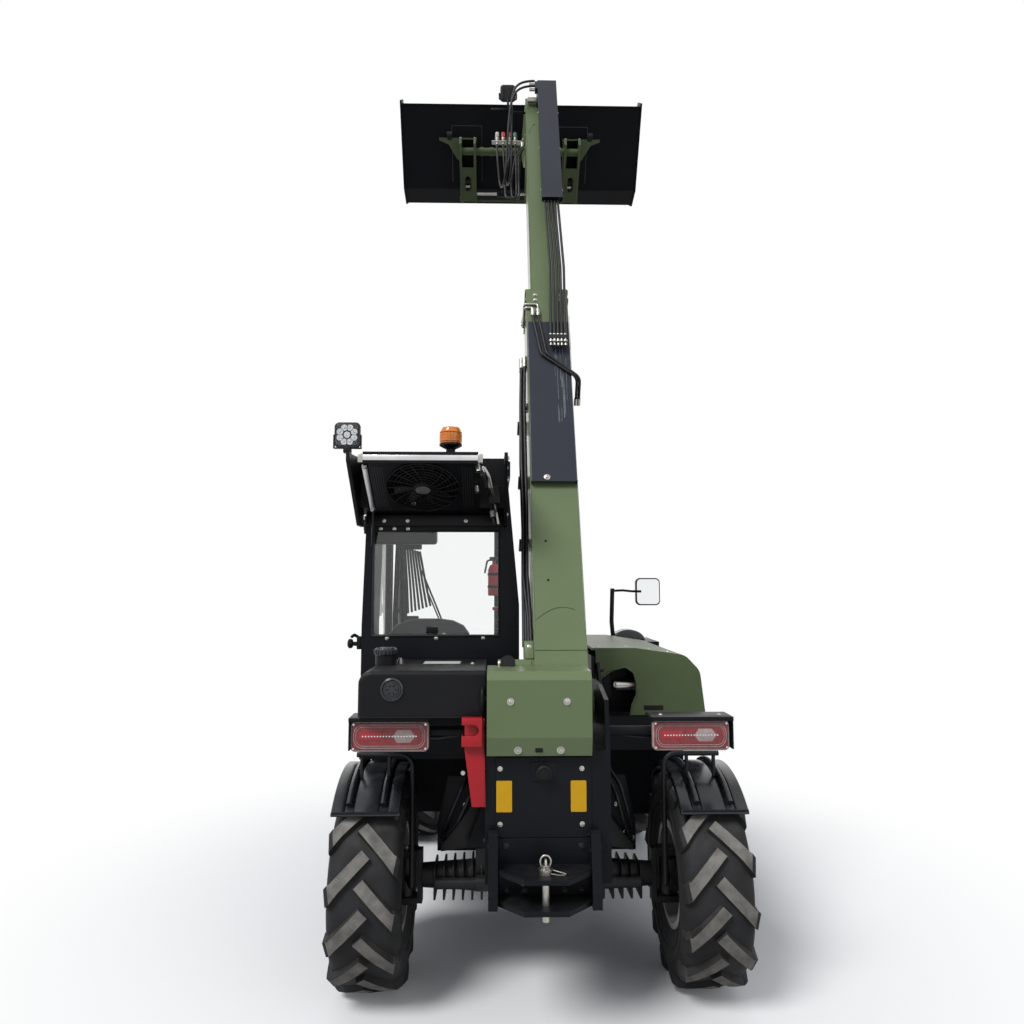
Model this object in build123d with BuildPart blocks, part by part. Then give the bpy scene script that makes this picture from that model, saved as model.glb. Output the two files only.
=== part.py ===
"""Telehandler with a side-offset telescopic boom, a bucket on a quick hitch and four-wheel steering.

X is to the right, Y is forward and Z is up, in millimetres, with the floor at Z = 0.
Every place along the machine is given by its distance ahead of the rear axle.
"""
from build123d import *
from math import cos, radians, sin, tan
import os

# overall sizes
REAR_AXLE_Y = -1240.0
WHEELBASE = 2250.0
TRACK = 1570.0
KINGPIN_X = 640.0

# wheels
TYRE_R = 490.0
TYRE_W = 330.0
TYRE_WALL = 22.0
RIM_R = 229.0
RIM_WALL = 10.0
RIM_HALF = 135.0
HUB_R = 105.0
SPINDLE_R = 50.0
RUNNING_GAP = 0.05
SEAT_GAP = 0.3

# mudguards
FENDER_R = 530.0
FENDER_ARM = 170.0
FENDER_RAIL_Z = 1100.0
FENDER_POST_R = 9.0

# chassis
FRAME_LEFT = -250.0
FRAME_RIGHT = 290.0
FRAME_PLATE = 20.0
AXLE_PAD_Z = 640.0

# boom
BOOM_ANGLE = 67.0
BOOM_X = 100.0
PIVOT_Y = -150.0
PIVOT_Z = 1320.0
PIVOT_PIN_R = 40.0
OUTER_LENGTH = 2490.0
OUTER_LOW = -70.0
OUTER_HIGH = 230.0
OUTER_HALF = 125.0
OUTER_WALL = 8.0
INNER_REAR = 1830.0
INNER_TIP = 4414.0
INNER_LOW = -35.0
INNER_HIGH = 195.0
INNER_HALF = 95.0
INNER_WALL = 8.0
LEVER_INSET = 30
LEVER_PLATE = 20
LEVER_GAP = 9
EAR_GAP = 10
EAR_PLATE = 25
PAD_GAP = 0.5
COVER_START = 1108.0
COVER_END = 2200.0
COVER_HIGH = 262.0
GUARD_LOW = 287
VALVE_END = 165
VALVE_GAP = 13
HOSE_R = 8.0
HOSE_V = 302.0
HOSE_PLACES = (108.0, 129.0, 150.0, 171.0, 192.0)
COUPLER_PLACES = (-200.0, -155.0, -110.0, -65.0)

# bucket hitch
HITCH_U = 4709.0
HITCH_V = -466.0
HITCH_TUBE_R = 30.0
BUCKET_TILT = 32.0
BUCKET_W = 2000.0
BUCKET_BACK = 160.0
BUCKET_HEEL = -423.0
BUCKET_TOP = 347.0
BUCKET_DEPTH = 850.0
BUCKET_WALL = 10.0
TILT_LEVER = 170.0
TILT_BASE_U = 4150.0
TILT_BASE_V = 50.0

# lift cylinder
LIFT_BASE_Y = -20.0
LIFT_BASE_Z = 760.0
LIFT_EYE_U = 1000.0
LIFT_EYE_V = -125.0
LIFT_PIN_R = 25.0
SIDE_GAP = 5.0

# drawbar
JAW_HIGH = 705.0
JAW_LOW = 585.0
JAW_PLATE = 20.0
TIE_DOWN_Y = -580.0
TIE_DOWN_Z = 800.0
TIE_DOWN_R = 22.0

# cab
CAB_LEFT = -890.0
CAB_RIGHT = -85.0
CAB_REAR = 50.0
CAB_FRONT = 1560.0
CAB_FLOOR = 620.0
CAB_SILL = 1050.0
CAB_EAVES = 2470.0
CAB_WALL = 35.0
ROOF_TOP = 2550.0
GLASS = 6.0

# hood
HOOD_LEFT = 296.0
HOOD_RIGHT = 880.0
HOOD_REAR = 100.0
HOOD_FRONT = 1200.0
HOOD_LOW = 1235.0
HOOD_TOP = 1577.0
HOOD_WALL = 12.0
HOOD_PIN_X = 302.0
HOOD_PIN_Z = 1550.0
HOOD_HINGES = (320.0, 980.0)

os.makedirs("parts", exist_ok=True)


def point(x, y, z):
    """A place, with y measured ahead of the rear axle."""
    return (x, REAR_AXLE_Y + y, z)


def side_plane(x):
    """Upright plane at x: its own x runs forward from the rear axle and its own y runs up."""
    return Plane(origin=point(x, 0, 0), x_dir=(0, 1, 0), z_dir=(1, 0, 0))


def cross_plane(y):
    """Upright plane across the machine at y: its own x runs to the right and its own y runs up."""
    return Plane(origin=point(0, y, 0), x_dir=(1, 0, 0), z_dir=(0, -1, 0))


def floor_plane(z):
    """Level plane at z: its own x runs to the right and its own y runs forward from the rear axle."""
    return Plane(origin=point(0, 0, z), x_dir=(1, 0, 0), z_dir=(0, 0, 1))


def boom_plane(x):
    """Plane of the boom's side at x: its own x runs along the boom from the pivot, its y to the boom's top."""
    along = (0, cos(radians(BOOM_ANGLE)), sin(radians(BOOM_ANGLE)))
    return Plane(origin=point(x, PIVOT_Y, PIVOT_Z), x_dir=along, z_dir=(1, 0, 0))


def boom_point(x, u, v):
    """A place u along the boom and v above its pivot line."""
    spot = boom_plane(x).from_local_coords(Vector(u, v, 0))
    return (spot.X, spot.Y, spot.Z)


def hitch_plane(x):
    """Plane of the bucket's side at x: its own x runs into the bucket, its y up the bucket's back."""
    into = (0, cos(radians(BUCKET_TILT)), sin(radians(BUCKET_TILT)))
    return Plane(origin=boom_point(x, HITCH_U, HITCH_V), x_dir=into, z_dir=(1, 0, 0))


def hitch_point(x, n, s):
    """A place n ahead of the hitch tube and s up the bucket's back."""
    spot = hitch_plane(x).from_local_coords(Vector(n, s, 0))
    return (spot.X, spot.Y, spot.Z)


def slab(x, y, z, mode=Mode.ADD):
    """A box between two values on each axis, with y measured from the rear axle."""
    with Locations(point((x[0] + x[1]) / 2, (y[0] + y[1]) / 2, (z[0] + z[1]) / 2)):
        Box(x[1] - x[0], y[1] - y[0], z[1] - z[0], mode=mode)


def plate(plane, corners, thickness, mode=Mode.ADD):
    """A flat plate with the given outline, on the side of the plane that its normal points to."""
    with BuildSketch(plane) as outline:
        with BuildLine():
            Polyline(*corners, close=True)
        make_face()
    extrude(outline.sketch, amount=thickness, mode=mode)


def disc(plane, centre, radius, thickness, mode=Mode.ADD):
    """A round plate on the plane."""
    with BuildSketch(plane) as outline:
        with Locations(centre):
            Circle(radius)
    extrude(outline.sketch, amount=thickness, mode=mode)


def bar(start, end, radius, mode=Mode.ADD):
    """A round bar between two places."""
    axis = Vector(*end) - Vector(*start)
    with BuildSketch(Plane(origin=start, z_dir=axis)) as section:
        Circle(radius)
    extrude(section.sketch, amount=axis.length, mode=mode)


def hitch_face(n):
    """Plane across the bucket's back at n ahead of the hitch tube: its x runs right, its y up the back."""
    out = (0, -cos(radians(BUCKET_TILT)), -sin(radians(BUCKET_TILT)))
    return Plane(origin=hitch_point(0, n, 0), x_dir=(1, 0, 0), z_dir=out)


def pipe(places, radii, radius):
    """A round pipe through the places, with an arc at each corner."""
    with BuildLine() as route:
        FilletPolyline(*places, radius=radii)
    with BuildSketch(Plane(origin=route.line @ 0, z_dir=route.line % 0)) as section:
        Circle(radius)
    sweep(section.sketch, path=route.line)


def full_arcs(places):
    """The largest arc for each corner of a free route: 0.45 of the shorter run over tan of half the turn."""
    spots = [Vector(*place) for place in places]
    radii = []
    for before, corner, after in zip(spots, spots[1:], spots[2:]):
        into = corner - before
        out = after - corner
        half_turn = radians(into.get_angle(out)) / 2
        radii.append(0.45 * min(into.length, out.length) / tan(half_turn))
    return radii


def finish(part, name):
    """Labels a piece and writes its file."""
    part.label = name
    export_step(part, f"parts/{name}.step")


# ---------------------------------------------------------------- chassis

with BuildPart() as chassis_frame:
    side_outline = [
        (-540, AXLE_PAD_Z), (-540, 1165), (-500, 1400), (-300, 1440), (-60, 1440), (0, 1400),
        (44, 1010), (2350, 900), (WHEELBASE + 310, 760), (WHEELBASE + 310, AXLE_PAD_Z),
        (WHEELBASE - 260, AXLE_PAD_Z), (WHEELBASE - 320, 500), (320, 500), (260, AXLE_PAD_Z),
    ]
    plate(side_plane(FRAME_LEFT), side_outline, FRAME_PLATE)
    plate(side_plane(FRAME_RIGHT - FRAME_PLATE), side_outline, FRAME_PLATE)
    inside = (FRAME_LEFT + FRAME_PLATE, FRAME_RIGHT - FRAME_PLATE)
    slab(inside, (320, WHEELBASE - 320), (500, 512))
    slab(inside, (-540, -525), (AXLE_PAD_Z, 1190))
    slab(inside, (WHEELBASE + 295, WHEELBASE + 310), (AXLE_PAD_Z, 760))
    slab(inside, (-120, 80), (655, 675))
    slab(inside, (WHEELBASE - 120, WHEELBASE + 120), (655, 675))
    for low in (BOOM_X - 75, BOOM_X + 50):
        plate(
            side_plane(low),
            [(-80, 675), (40, 675), (25, LIFT_BASE_Z + 25), (-5, LIFT_BASE_Z + 45),
             (-35, LIFT_BASE_Z + 45), (-65, LIFT_BASE_Z + 25)],
            25,
        )
    bar(point(BOOM_X - 90, LIFT_BASE_Y, LIFT_BASE_Z), point(BOOM_X + 90, LIFT_BASE_Y, LIFT_BASE_Z), LIFT_PIN_R)
    bar(point(FRAME_LEFT, PIVOT_Y, PIVOT_Z), point(FRAME_RIGHT + 15, PIVOT_Y, PIVOT_Z), PIVOT_PIN_R)
    # gussets from the side plates out to the rear axle's pads
    for y in (-84, 72):
        plate(cross_plane(y + 12), [(FRAME_LEFT + 1, 900), (FRAME_LEFT + 1, AXLE_PAD_Z), (-345, AXLE_PAD_Z)], 12)
        plate(cross_plane(y + 12), [(FRAME_RIGHT - 1, 900), (FRAME_RIGHT - 1, AXLE_PAD_Z), (345, AXLE_PAD_Z)], 12)
finish(chassis_frame.part, "chassis_frame")

with BuildPart() as rear_cover:
    with BuildSketch(side_plane(-243)) as section:
        with BuildLine():
            Polyline((-540.3, 1178), (-580, 1178), (-602, 1257), (-602, 1498), (-575, 1533), (-330, 1533),
                     (-330, 1529), (-573, 1529), (-598, 1496), (-598, 1259), (-577, 1182), (-540.3, 1182), close=True)
        make_face()
    extrude(amount=449)
finish(rear_cover.part, "rear_cover")

with BuildPart() as rear_panel:
    slab((-205, 205), (-546, -540), (832, 1165))
    with BuildSketch(cross_plane(-546)):
        with Locations((0, 1105)):
            Circle(34)
    extrude(amount=28)
finish(rear_panel.part, "rear_panel")

with BuildPart() as drawbar:
    slab((-235, 235), (-555, -540), (JAW_LOW - 10, 831))
    for low in (-235, 195):
        plate(
            side_plane(low),
            [(-546.3, 865), (-600, 865), (-650, 640), (-650, JAW_LOW - 10), (-546.3, JAW_LOW - 10)],
            40,
        )
        disc(side_plane(low), (TIE_DOWN_Y, TIE_DOWN_Z), TIE_DOWN_R, 40, mode=Mode.SUBTRACT)
    nose = [(-200, -550), (-200, -620), (-90, -733.4), (90, -733.4), (200, -620), (200, -550)]
    for low in (JAW_LOW, JAW_HIGH):
        plate(floor_plane(low), nose, JAW_PLATE)
        disc(floor_plane(low), (0, -660), 16.3, JAW_PLATE, mode=Mode.SUBTRACT)
    plate(side_plane(-90), [(-550, JAW_LOW + 1), (-700, JAW_LOW + 1), (-640, JAW_LOW - 35), (-550, JAW_LOW - 35)], 180)
    disc(floor_plane(JAW_LOW - 36), (0, -660), 16.3, 40, mode=Mode.SUBTRACT)
finish(drawbar.part, "drawbar")

with BuildPart() as hitch_pin:
    bar(point(0, -660, 540), point(0, -660, 745), 16)
    bar(point(0, -660, JAW_HIGH + JAW_PLATE + 0.3), point(0, -660, 740), 27)
    with BuildSketch(side_plane(-4)) as ring:
        with Locations((-660, 764)):
            Circle(24)
            Circle(14, mode=Mode.SUBTRACT)
    extrude(ring.sketch, amount=8)
finish(hitch_pin.part, "hitch_pin")

with BuildPart() as safety_strut:
    strut_side = [(-545, 943), (-566, 943), (-592, 1190), (-592, 1337), (-545, 1337)]
    plate(side_plane(-340), strut_side, 5)
    plate(side_plane(-260), strut_side, 5)
    plate(
        cross_plane(-540),
        [(-328, 943), (-262, 943), (-255, 1100), (-255, 1337), (-346, 1337), (-346, 1150)],
        5,
    )
    # the round seat at its head that takes the lift cylinder's rod
    with BuildSketch(cross_plane(-530)) as seat_cut:
        with Locations((-300, 1262)):
            Circle(24)
        with Locations((-321, 1262)):
            Rectangle(42, 48)
    extrude(seat_cut.sketch, amount=80, mode=Mode.SUBTRACT)
    slab((-300, -250), (-541, -500), (1120, 1160))
finish(safety_strut.part, "safety_strut")

with BuildPart() as lamp_bar:
    bar(point(-840, -380, 1246), point(-250.0, -380, 1246), 22)
    bar(point(290.0, -380, 1246), point(840, -380, 1246), 22)
    slab((-850, -500), (-470, -340), (1310, 1315))
    slab((-850, -844), (-470, -340), (1180, 1310))
    slab((-700, -660), (-400, -360), (1246, 1310))
    slab((660, 700), (-400, -360), (1246, 1310))
    slab((480, 848), (-470, -340), (1310, 1315))
    slab((842, 848), (-470, -340), (1180, 1310))
finish(lamp_bar.part, "lamp_bar")

with BuildPart() as tail_lamps:
    for low, high in ((-843, -503), (485, 841)):
        slab((low, high), (-460, -402.3), (1172, 1304))
finish(tail_lamps.part, "tail_lamps")

with BuildPart() as fluid_tank:
    slab((-806, FRAME_LEFT), (-520, 20), (1330, 1529))
    fillet(fluid_tank.edges().filter_by(Axis.Y).group_by(Axis.X)[0].group_by(Axis.Z)[-1], 60)
    fillet(fluid_tank.faces().sort_by(Axis.Y)[0].edges().group_by(Axis.Z)[-1], 22)
    disc(floor_plane(1529), (-724, -240), 48, 45)
finish(fluid_tank.part, "fluid_tank")

# ---------------------------------------------------------------- axles, knuckles and wheels


def make_axle(name, y):
    """A driven axle with a yoke at each end for the kingpins."""
    with BuildPart() as axle:
        for side in (-1, 1):
            section_plane = Plane(origin=point(0, y, TYRE_R), x_dir=(side, 0, 0), z_dir=(0, -side, 0))
            with BuildSketch(section_plane):
                with BuildLine():
                    Polyline((0, 0), (0, 130), (90, 130), (190, 80), (560, 56), (560, 0), close=True)
                make_face()
            revolve(axis=Axis(point(0, y, TYRE_R), (1, 0, 0)))
            inner, outer = sorted((side * 200, side * 300))
            slab((inner, outer), (y - 90, y + 90), (TYRE_R, AXLE_PAD_Z))
            inner, outer = sorted((side * 560, side * 585))
            slab((inner, outer), (y - 28, y + 28), (TYRE_R - 125, TYRE_R + 125))
            inner, outer = sorted((side * 585, side * 690))
            for low in (TYRE_R - 125, TYRE_R + 95):
                slab((inner, outer), (y - 45, y + 45), (low, low + 30))
                disc(floor_plane(low), (side * KINGPIN_X, y), 24.05, 30, mode=Mode.SUBTRACT)
    finish(axle.part, name)


def make_knuckle(name, side, y):
    """A steering knuckle with its kingpins, hub flange, spindle, and the rail that carries the mudguard."""
    rail_y = y - FENDER_ARM
    guard_top = TYRE_R + SEAT_GAP + (FENDER_R ** 2 - (FENDER_ARM - FENDER_POST_R) ** 2) ** 0.5
    post_x = side * 598
    with BuildPart() as knuckle:
        bar(point(side * KINGPIN_X, y, TYRE_R - 125), point(side * KINGPIN_X, y, TYRE_R + 125), 24)
        bar(point(side * KINGPIN_X, y, TYRE_R - 90), point(side * KINGPIN_X, y, TYRE_R + 90), 40)
        bar(point(side * KINGPIN_X, y, TYRE_R), point(side * 735, y, TYRE_R), 85)
        bar(point(side * 700, y, TYRE_R), point(side * 795, y, TYRE_R), SPINDLE_R)
        pipe(
            [point(side * 634, y - 25, TYRE_R), point(post_x, rail_y, TYRE_R), point(post_x, rail_y, FENDER_RAIL_Z),
             point(side * 862, rail_y, FENDER_RAIL_Z)],
            [25, 60], 12,
        )
        for x in (708, 838):
            bar(point(side * x, rail_y, guard_top), point(side * x, rail_y, FENDER_RAIL_Z), FENDER_POST_R)
    finish(knuckle.part, name)


def make_fender(name, side, y):
    """A mudguard that follows the tyre's top and turns with its knuckle."""
    inner, outer = 635.0, 944.0
    with BuildPart() as fender:
        start = Plane(origin=point(0, y, TYRE_R), x_dir=(side, 0, 0), z_dir=(0, -side, 0))
        with BuildSketch(start):
            with BuildLine():
                Polyline((inner, 500), (inner, FENDER_R), (outer, FENDER_R), (outer, 500), (outer - 5, 500),
                         (outer - 5, FENDER_R - 5), (inner + 5, FENDER_R - 5), (inner + 5, 500), close=True)
            make_face()
        revolve(axis=Axis(point(0, y, TYRE_R), (1, 0, 0)), revolution_arc=84)
    turned = fender.part.rotate(Axis(point(0, y, TYRE_R), (1, 0, 0)), 42)
    low_side = turned.bounding_box().center().Y
    if abs(low_side - REAR_AXLE_Y - y) > 5:
        turned = fender.part.rotate(Axis(point(0, y, TYRE_R), (1, 0, 0)), -42)
    finish(turned, name)


def make_tyre(name, side, y):
    """A hollow tyre."""
    half = TYRE_W / 2
    middle = TRACK / 2
    wall = TYRE_WALL
    with BuildPart() as tyre:
        start = Plane(origin=point(0, y, TYRE_R), x_dir=(side, 0, 0), z_dir=(0, -side, 0))
        with BuildSketch(start):
            with BuildLine():
                outer_line = [(-115, RIM_R + SEAT_GAP), (-122, 255), (-half, 340), (-half + 4, 410),
                              (-half + 30, 465), (-70, TYRE_R - 4), (0, TYRE_R), (70, TYRE_R - 4),
                              (half - 30, 465), (half - 4, 410), (half, 340), (122, 255),
                              (115, RIM_R + SEAT_GAP)]
                inner_line = [(115 - wall, RIM_R + SEAT_GAP), (122 - wall, 262), (half - wall, 340),
                              (half - wall - 4, 405), (half - 30 - wall, 440), (0, TYRE_R - 38),
                              (-half + 30 + wall, 440), (-half + wall + 4, 405), (-half + wall, 340),
                              (-122 + wall, 262), (-115 + wall, RIM_R + SEAT_GAP)]
                Polyline(*[(middle + a, r) for a, r in outer_line + inner_line], close=True)
            make_face()
        revolve(axis=Axis(point(0, y, TYRE_R), (1, 0, 0)))
    finish(tyre.part, name)


def make_rim(name, side, y):
    """A wheel rim with its disc and hub."""
    middle = TRACK / 2
    with BuildPart() as rim:
        start = Plane(origin=point(0, y, TYRE_R), x_dir=(side, 0, 0), z_dir=(0, -side, 0))
        with BuildSketch(start):
            with BuildLine():
                corners = [(-RIM_HALF, RIM_R + 18), (-RIM_HALF + 9, RIM_R + 18), (-RIM_HALF + 12, RIM_R),
                           (RIM_HALF - 12, RIM_R), (RIM_HALF - 9, RIM_R + 18), (RIM_HALF, RIM_R + 18),
                           (RIM_HALF, RIM_R - RIM_WALL), (72, RIM_R - RIM_WALL), (72, HUB_R), (85, HUB_R - 10),
                           (105, HUB_R - 15), (105, 0), (15, 0), (15, SPINDLE_R + RUNNING_GAP),
                           (-45, SPINDLE_R + RUNNING_GAP), (-45, HUB_R), (60, HUB_R),
                           (60, RIM_R - RIM_WALL), (-RIM_HALF, RIM_R - RIM_WALL)]
                Polyline(*[(middle + a, r) for a, r in corners], close=True)
            make_face()
        revolve(axis=Axis(point(0, y, TYRE_R), (1, 0, 0)))
    finish(rim.part, name)


for end, axle_y in (("rear", 0.0), ("front", WHEELBASE)):
    make_axle(f"{end}_axle", axle_y)
    for hand, side in (("left", -1), ("right", 1)):
        make_knuckle(f"{end}_{hand}_knuckle", side, axle_y)
        make_fender(f"{end}_{hand}_fender", side, axle_y)
        make_tyre(f"{end}_{hand}_tyre", side, axle_y)
        make_rim(f"{end}_{hand}_rim", side, axle_y)

# ---------------------------------------------------------------- cab

CAB_SECTION = [(CAB_LEFT, CAB_SILL), (CAB_LEFT, 1700), (-868, CAB_EAVES), (-146, CAB_EAVES),
               (CAB_RIGHT, 1800), (CAB_RIGHT, CAB_SILL)]
CAB_SIDE = [(CAB_REAR, CAB_SILL), (CAB_REAR, CAB_EAVES), (1290, CAB_EAVES), (CAB_FRONT, 1500),
            (CAB_FRONT, CAB_SILL)]
DOOR_REAR = 420.0
DOOR_FRONT = 1250.0
DOOR_LOW = 700.0
DOOR_TOP = 2400.0
DOOR_GAP = 6.0
DOOR_PIN_X = CAB_LEFT - 46
DOOR_PIN_Y = 412.0
DOOR_HINGES = (1160.0, 1700.0, 2240.0)

with BuildPart() as cab_inside:
    plate(
        cross_plane(CAB_REAR + CAB_WALL),
        [(CAB_LEFT + CAB_WALL, CAB_SILL - 1), (CAB_LEFT + CAB_WALL, 1700), (-868 + CAB_WALL, CAB_EAVES + 1),
         (-146 - CAB_WALL, CAB_EAVES + 1), (CAB_RIGHT - CAB_WALL, 1800), (CAB_RIGHT - CAB_WALL, CAB_SILL - 1)],
        -(CAB_FRONT - CAB_REAR - 2 * CAB_WALL),
    )
    with BuildSketch(side_plane(CAB_LEFT - 10)) as inner_side:
        with BuildLine():
            Polyline((CAB_REAR, CAB_SILL - 1), (CAB_REAR, CAB_EAVES + 1), (1290 - CAB_WALL, CAB_EAVES + 1),
                     (CAB_FRONT - CAB_WALL, 1490), (CAB_FRONT - CAB_WALL, CAB_SILL - 1), close=True)
        make_face()
    extrude(inner_side.sketch, amount=CAB_RIGHT - CAB_LEFT + 20, mode=Mode.INTERSECT)

with BuildPart() as cab_frame:
    plate(cross_plane(CAB_REAR), CAB_SECTION, -(CAB_FRONT - CAB_REAR))
    with BuildSketch(side_plane(CAB_LEFT - 10)) as side_shape:
        with BuildLine():
            Polyline(*CAB_SIDE, close=True)
        make_face()
    extrude(side_shape.sketch, amount=CAB_RIGHT - CAB_LEFT + 20, mode=Mode.INTERSECT)
    add(cab_inside.part, mode=Mode.SUBTRACT)
    for z in DOOR_HINGES:
        bar(point(DOOR_PIN_X, DOOR_PIN_Y, z - 50), point(DOOR_PIN_X, DOOR_PIN_Y, z + 50), 8)
        for low in (z - 50, z + 30):
            slab((DOOR_PIN_X - 10, CAB_LEFT + 24), (DOOR_PIN_Y - 10, DOOR_PIN_Y + 7), (low, low + 20))
    # rear window, right window, door opening and windscreen
    slab((-835, -190), (CAB_REAR - 5, CAB_REAR + CAB_WALL + 5), (1645, 2180), mode=Mode.SUBTRACT)
    slab((-200, CAB_RIGHT + 5), (160, 1180), (1560, 2370), mode=Mode.SUBTRACT)
    slab((CAB_LEFT - 5, -780), (DOOR_REAR, DOOR_FRONT), (CAB_SILL - 5, DOOR_TOP), mode=Mode.SUBTRACT)
    slab((-820, -215), (1290, CAB_FRONT + 10), (1540, 2380), mode=Mode.SUBTRACT)
    slab((-820, -155), (CAB_FRONT - CAB_WALL - 5, CAB_FRONT + 10), (1080, 1460), mode=Mode.SUBTRACT)
finish(cab_frame.part, "cab_frame")

with BuildPart() as cab_tub:
    slab((CAB_LEFT, FRAME_LEFT - SEAT_GAP), (600, 1640), (CAB_FLOOR, CAB_SILL))
    slab((CAB_LEFT + 20, FRAME_LEFT - 20), (620, 1620), (CAB_FLOOR + 20, CAB_SILL + 1), mode=Mode.SUBTRACT)
    slab((CAB_LEFT - 1, CAB_LEFT + 21), (620, DOOR_FRONT), (DOOR_LOW, CAB_SILL + 1), mode=Mode.SUBTRACT)
    slab((CAB_LEFT, FRAME_LEFT - SEAT_GAP), (CAB_REAR, 600), (CAB_SILL - 20, CAB_SILL))
finish(cab_tub.part, "cab_tub")

with BuildPart() as cab_roof:
    slab((-885, -130), (CAB_REAR, 1330), (CAB_EAVES, ROOF_TOP))
    slab((-850, -180), (90, 1240), (CAB_EAVES - 1, ROOF_TOP - 20), mode=Mode.SUBTRACT)
    slab((-760, -240), (500, 1180), (ROOF_TOP - 25, ROOF_TOP + 5), mode=Mode.SUBTRACT)
    fillet(cab_roof.edges().filter_by(Axis.Z).group_by(Axis.Y)[0], 40)
finish(cab_roof.part, "cab_roof")

with BuildPart() as cab_glass:
    slab((-835 + SEAT_GAP, -190 - SEAT_GAP), (CAB_REAR + 8, CAB_REAR + 8 + GLASS), (1645.3, 2179.7))
    slab((-760 + SEAT_GAP, -240 - SEAT_GAP), (500.3, 1179.7), (ROOF_TOP - 14, ROOF_TOP - 8))
    # right window, leaning in above the waist, then the two windscreen panes
    plate(
        cross_plane(160.3),
        [(-109, 1560.3), (-109, 1800), (-160.9, 2369.7), (-154.9, 2369.7), (-103, 1800), (-103, 1560.3)],
        -1019.4,
    )
    plate(side_plane(-819.7), [(1530.9, 1540.3), (1536.9, 1540.3), (1303, 2379.7), (1297, 2379.7)], 604.4)
    slab((-819.7, -155.3), (1540, 1546), (1080.3, 1459.7))
finish(cab_glass.part, "cab_glass")

with BuildPart() as cab_door:
    door_outline = [(DOOR_REAR + DOOR_GAP, CAB_SILL + 6), (DOOR_REAR + DOOR_GAP, DOOR_TOP - DOOR_GAP),
                    (DOOR_FRONT - DOOR_GAP, DOOR_TOP - DOOR_GAP), (DOOR_FRONT - DOOR_GAP, DOOR_LOW + 6),
                    (640, DOOR_LOW + 6), (640, CAB_SILL + 6)]
    plate(side_plane(CAB_LEFT - 30), door_outline, 30)
    slab((CAB_LEFT - 31, CAB_LEFT + 1), (480, 1190), (1500, 2340), mode=Mode.SUBTRACT)
    slab((CAB_LEFT - 31, CAB_LEFT + 1), (700, 1190), (780, 1440), mode=Mode.SUBTRACT)
    for z in DOOR_HINGES:
        bar(point(DOOR_PIN_X, DOOR_PIN_Y, z - 29.5), point(DOOR_PIN_X, DOOR_PIN_Y, z + 29.5), 14)
        slab((DOOR_PIN_X - 4, CAB_LEFT - 24), (DOOR_PIN_Y + 8, 470), (z - 29.5, z + 29.5))
        bar(point(DOOR_PIN_X, DOOR_PIN_Y, z - 40), point(DOOR_PIN_X, DOOR_PIN_Y, z + 40), 8 + RUNNING_GAP,
            mode=Mode.SUBTRACT)
finish(cab_door.part, "cab_door")

with BuildPart() as door_glass:
    slab((CAB_LEFT - 18, CAB_LEFT - 12), (480.3, 1189.7), (1500.3, 2339.7))
    slab((CAB_LEFT - 18, CAB_LEFT - 12), (700.3, 1189.7), (780.3, 1439.7))
finish(door_glass.part, "door_glass")

with BuildPart() as seat:
    slab((-820, -350), (500, 980), (1180, 1290))
    slab((-820, -350), (500, 600), (1290, 1712))
    fillet(seat.edges().filter_by(Axis.Y).group_by(Axis.Z)[-1], 90)
    slab((-700, -460), (600, 900), (CAB_SILL, 1181))
finish(seat.part, "seat")

with BuildPart() as steering_column:
    slab((-640, -520), (1400, 1500), (CAB_FLOOR + 20, 1000))
    bar(point(-580, 1440, 960), point(-580, 1180, 1440), 35)
    wheel_plane = Plane(origin=point(-580, 1180, 1440), z_dir=(0, -0.28, 0.96))
    with BuildSketch(wheel_plane):
        Circle(180)
        Circle(155, mode=Mode.SUBTRACT)
        Circle(40)
        for turn in (0, 120, 240):
            with Locations(Location((0, 0, 0), (0, 0, turn))):
                with Locations((85, 0)):
                    Rectangle(170, 26)
    extrude(amount=22)
finish(steering_column.part, "steering_column")

with BuildPart() as dashboard:
    slab((-840, -130), (1300, CAB_FRONT - CAB_WALL), (1080, 1300))
    slab((-660, -500), (1290, 1480), (1079, 1301), mode=Mode.SUBTRACT)
finish(dashboard.part, "dashboard")

with BuildPart() as condenser_unit:
    plate(side_plane(-889), [(49.7, 2264), (49.7, 2550), (-60, 2543), (-60, 2290)], 734)
    plate(side_plane(-830), [(-50, 2275), (-50, 2540), (-360, 2524), (-360, 2476)], 540)
    for low, thick in ((-905, 17), (-166, 16)):
        plate(
            side_plane(low),
            [(49.7, 2200), (49.7, 2550), (-300, 2520), (-375, 2520), (-375, 2480), (-60, 2200)],
            thick,
        )
    # the fan's round recess in the sloping underside
    fan_plane = Plane(origin=point(-560, -205, 2375.5), x_dir=(1, 0, 0), z_dir=(0, -0.544, -0.839))
    disc(fan_plane, (0, 0), 175, -35, mode=Mode.SUBTRACT)
finish(condenser_unit.part, "condenser_unit")

with BuildPart() as work_lamp:
    slab((-968, -846), (-350, -305), (2545, 2667))
    slab((-925, -890), (-350, -310), (2520.3, 2546))
finish(work_lamp.part, "work_lamp")

with BuildPart() as beacon:
    bar(point(-463, 400, ROOF_TOP), point(-463, 400, ROOF_TOP + 150), 55)
    bar(point(-463, 400, ROOF_TOP + 150), point(-463, 400, ROOF_TOP + 252), 62)
finish(beacon.part, "beacon")

# ---------------------------------------------------------------- engine side

with BuildPart() as engine_block:
    slab((345, 800), (660, 1400), (640, 1180))
    for x in (345, 740):
        for y in (660, 1340):
            slab((x, x + 60), (y, y + 60), (612, 640))
finish(engine_block.part, "engine_block")

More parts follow.
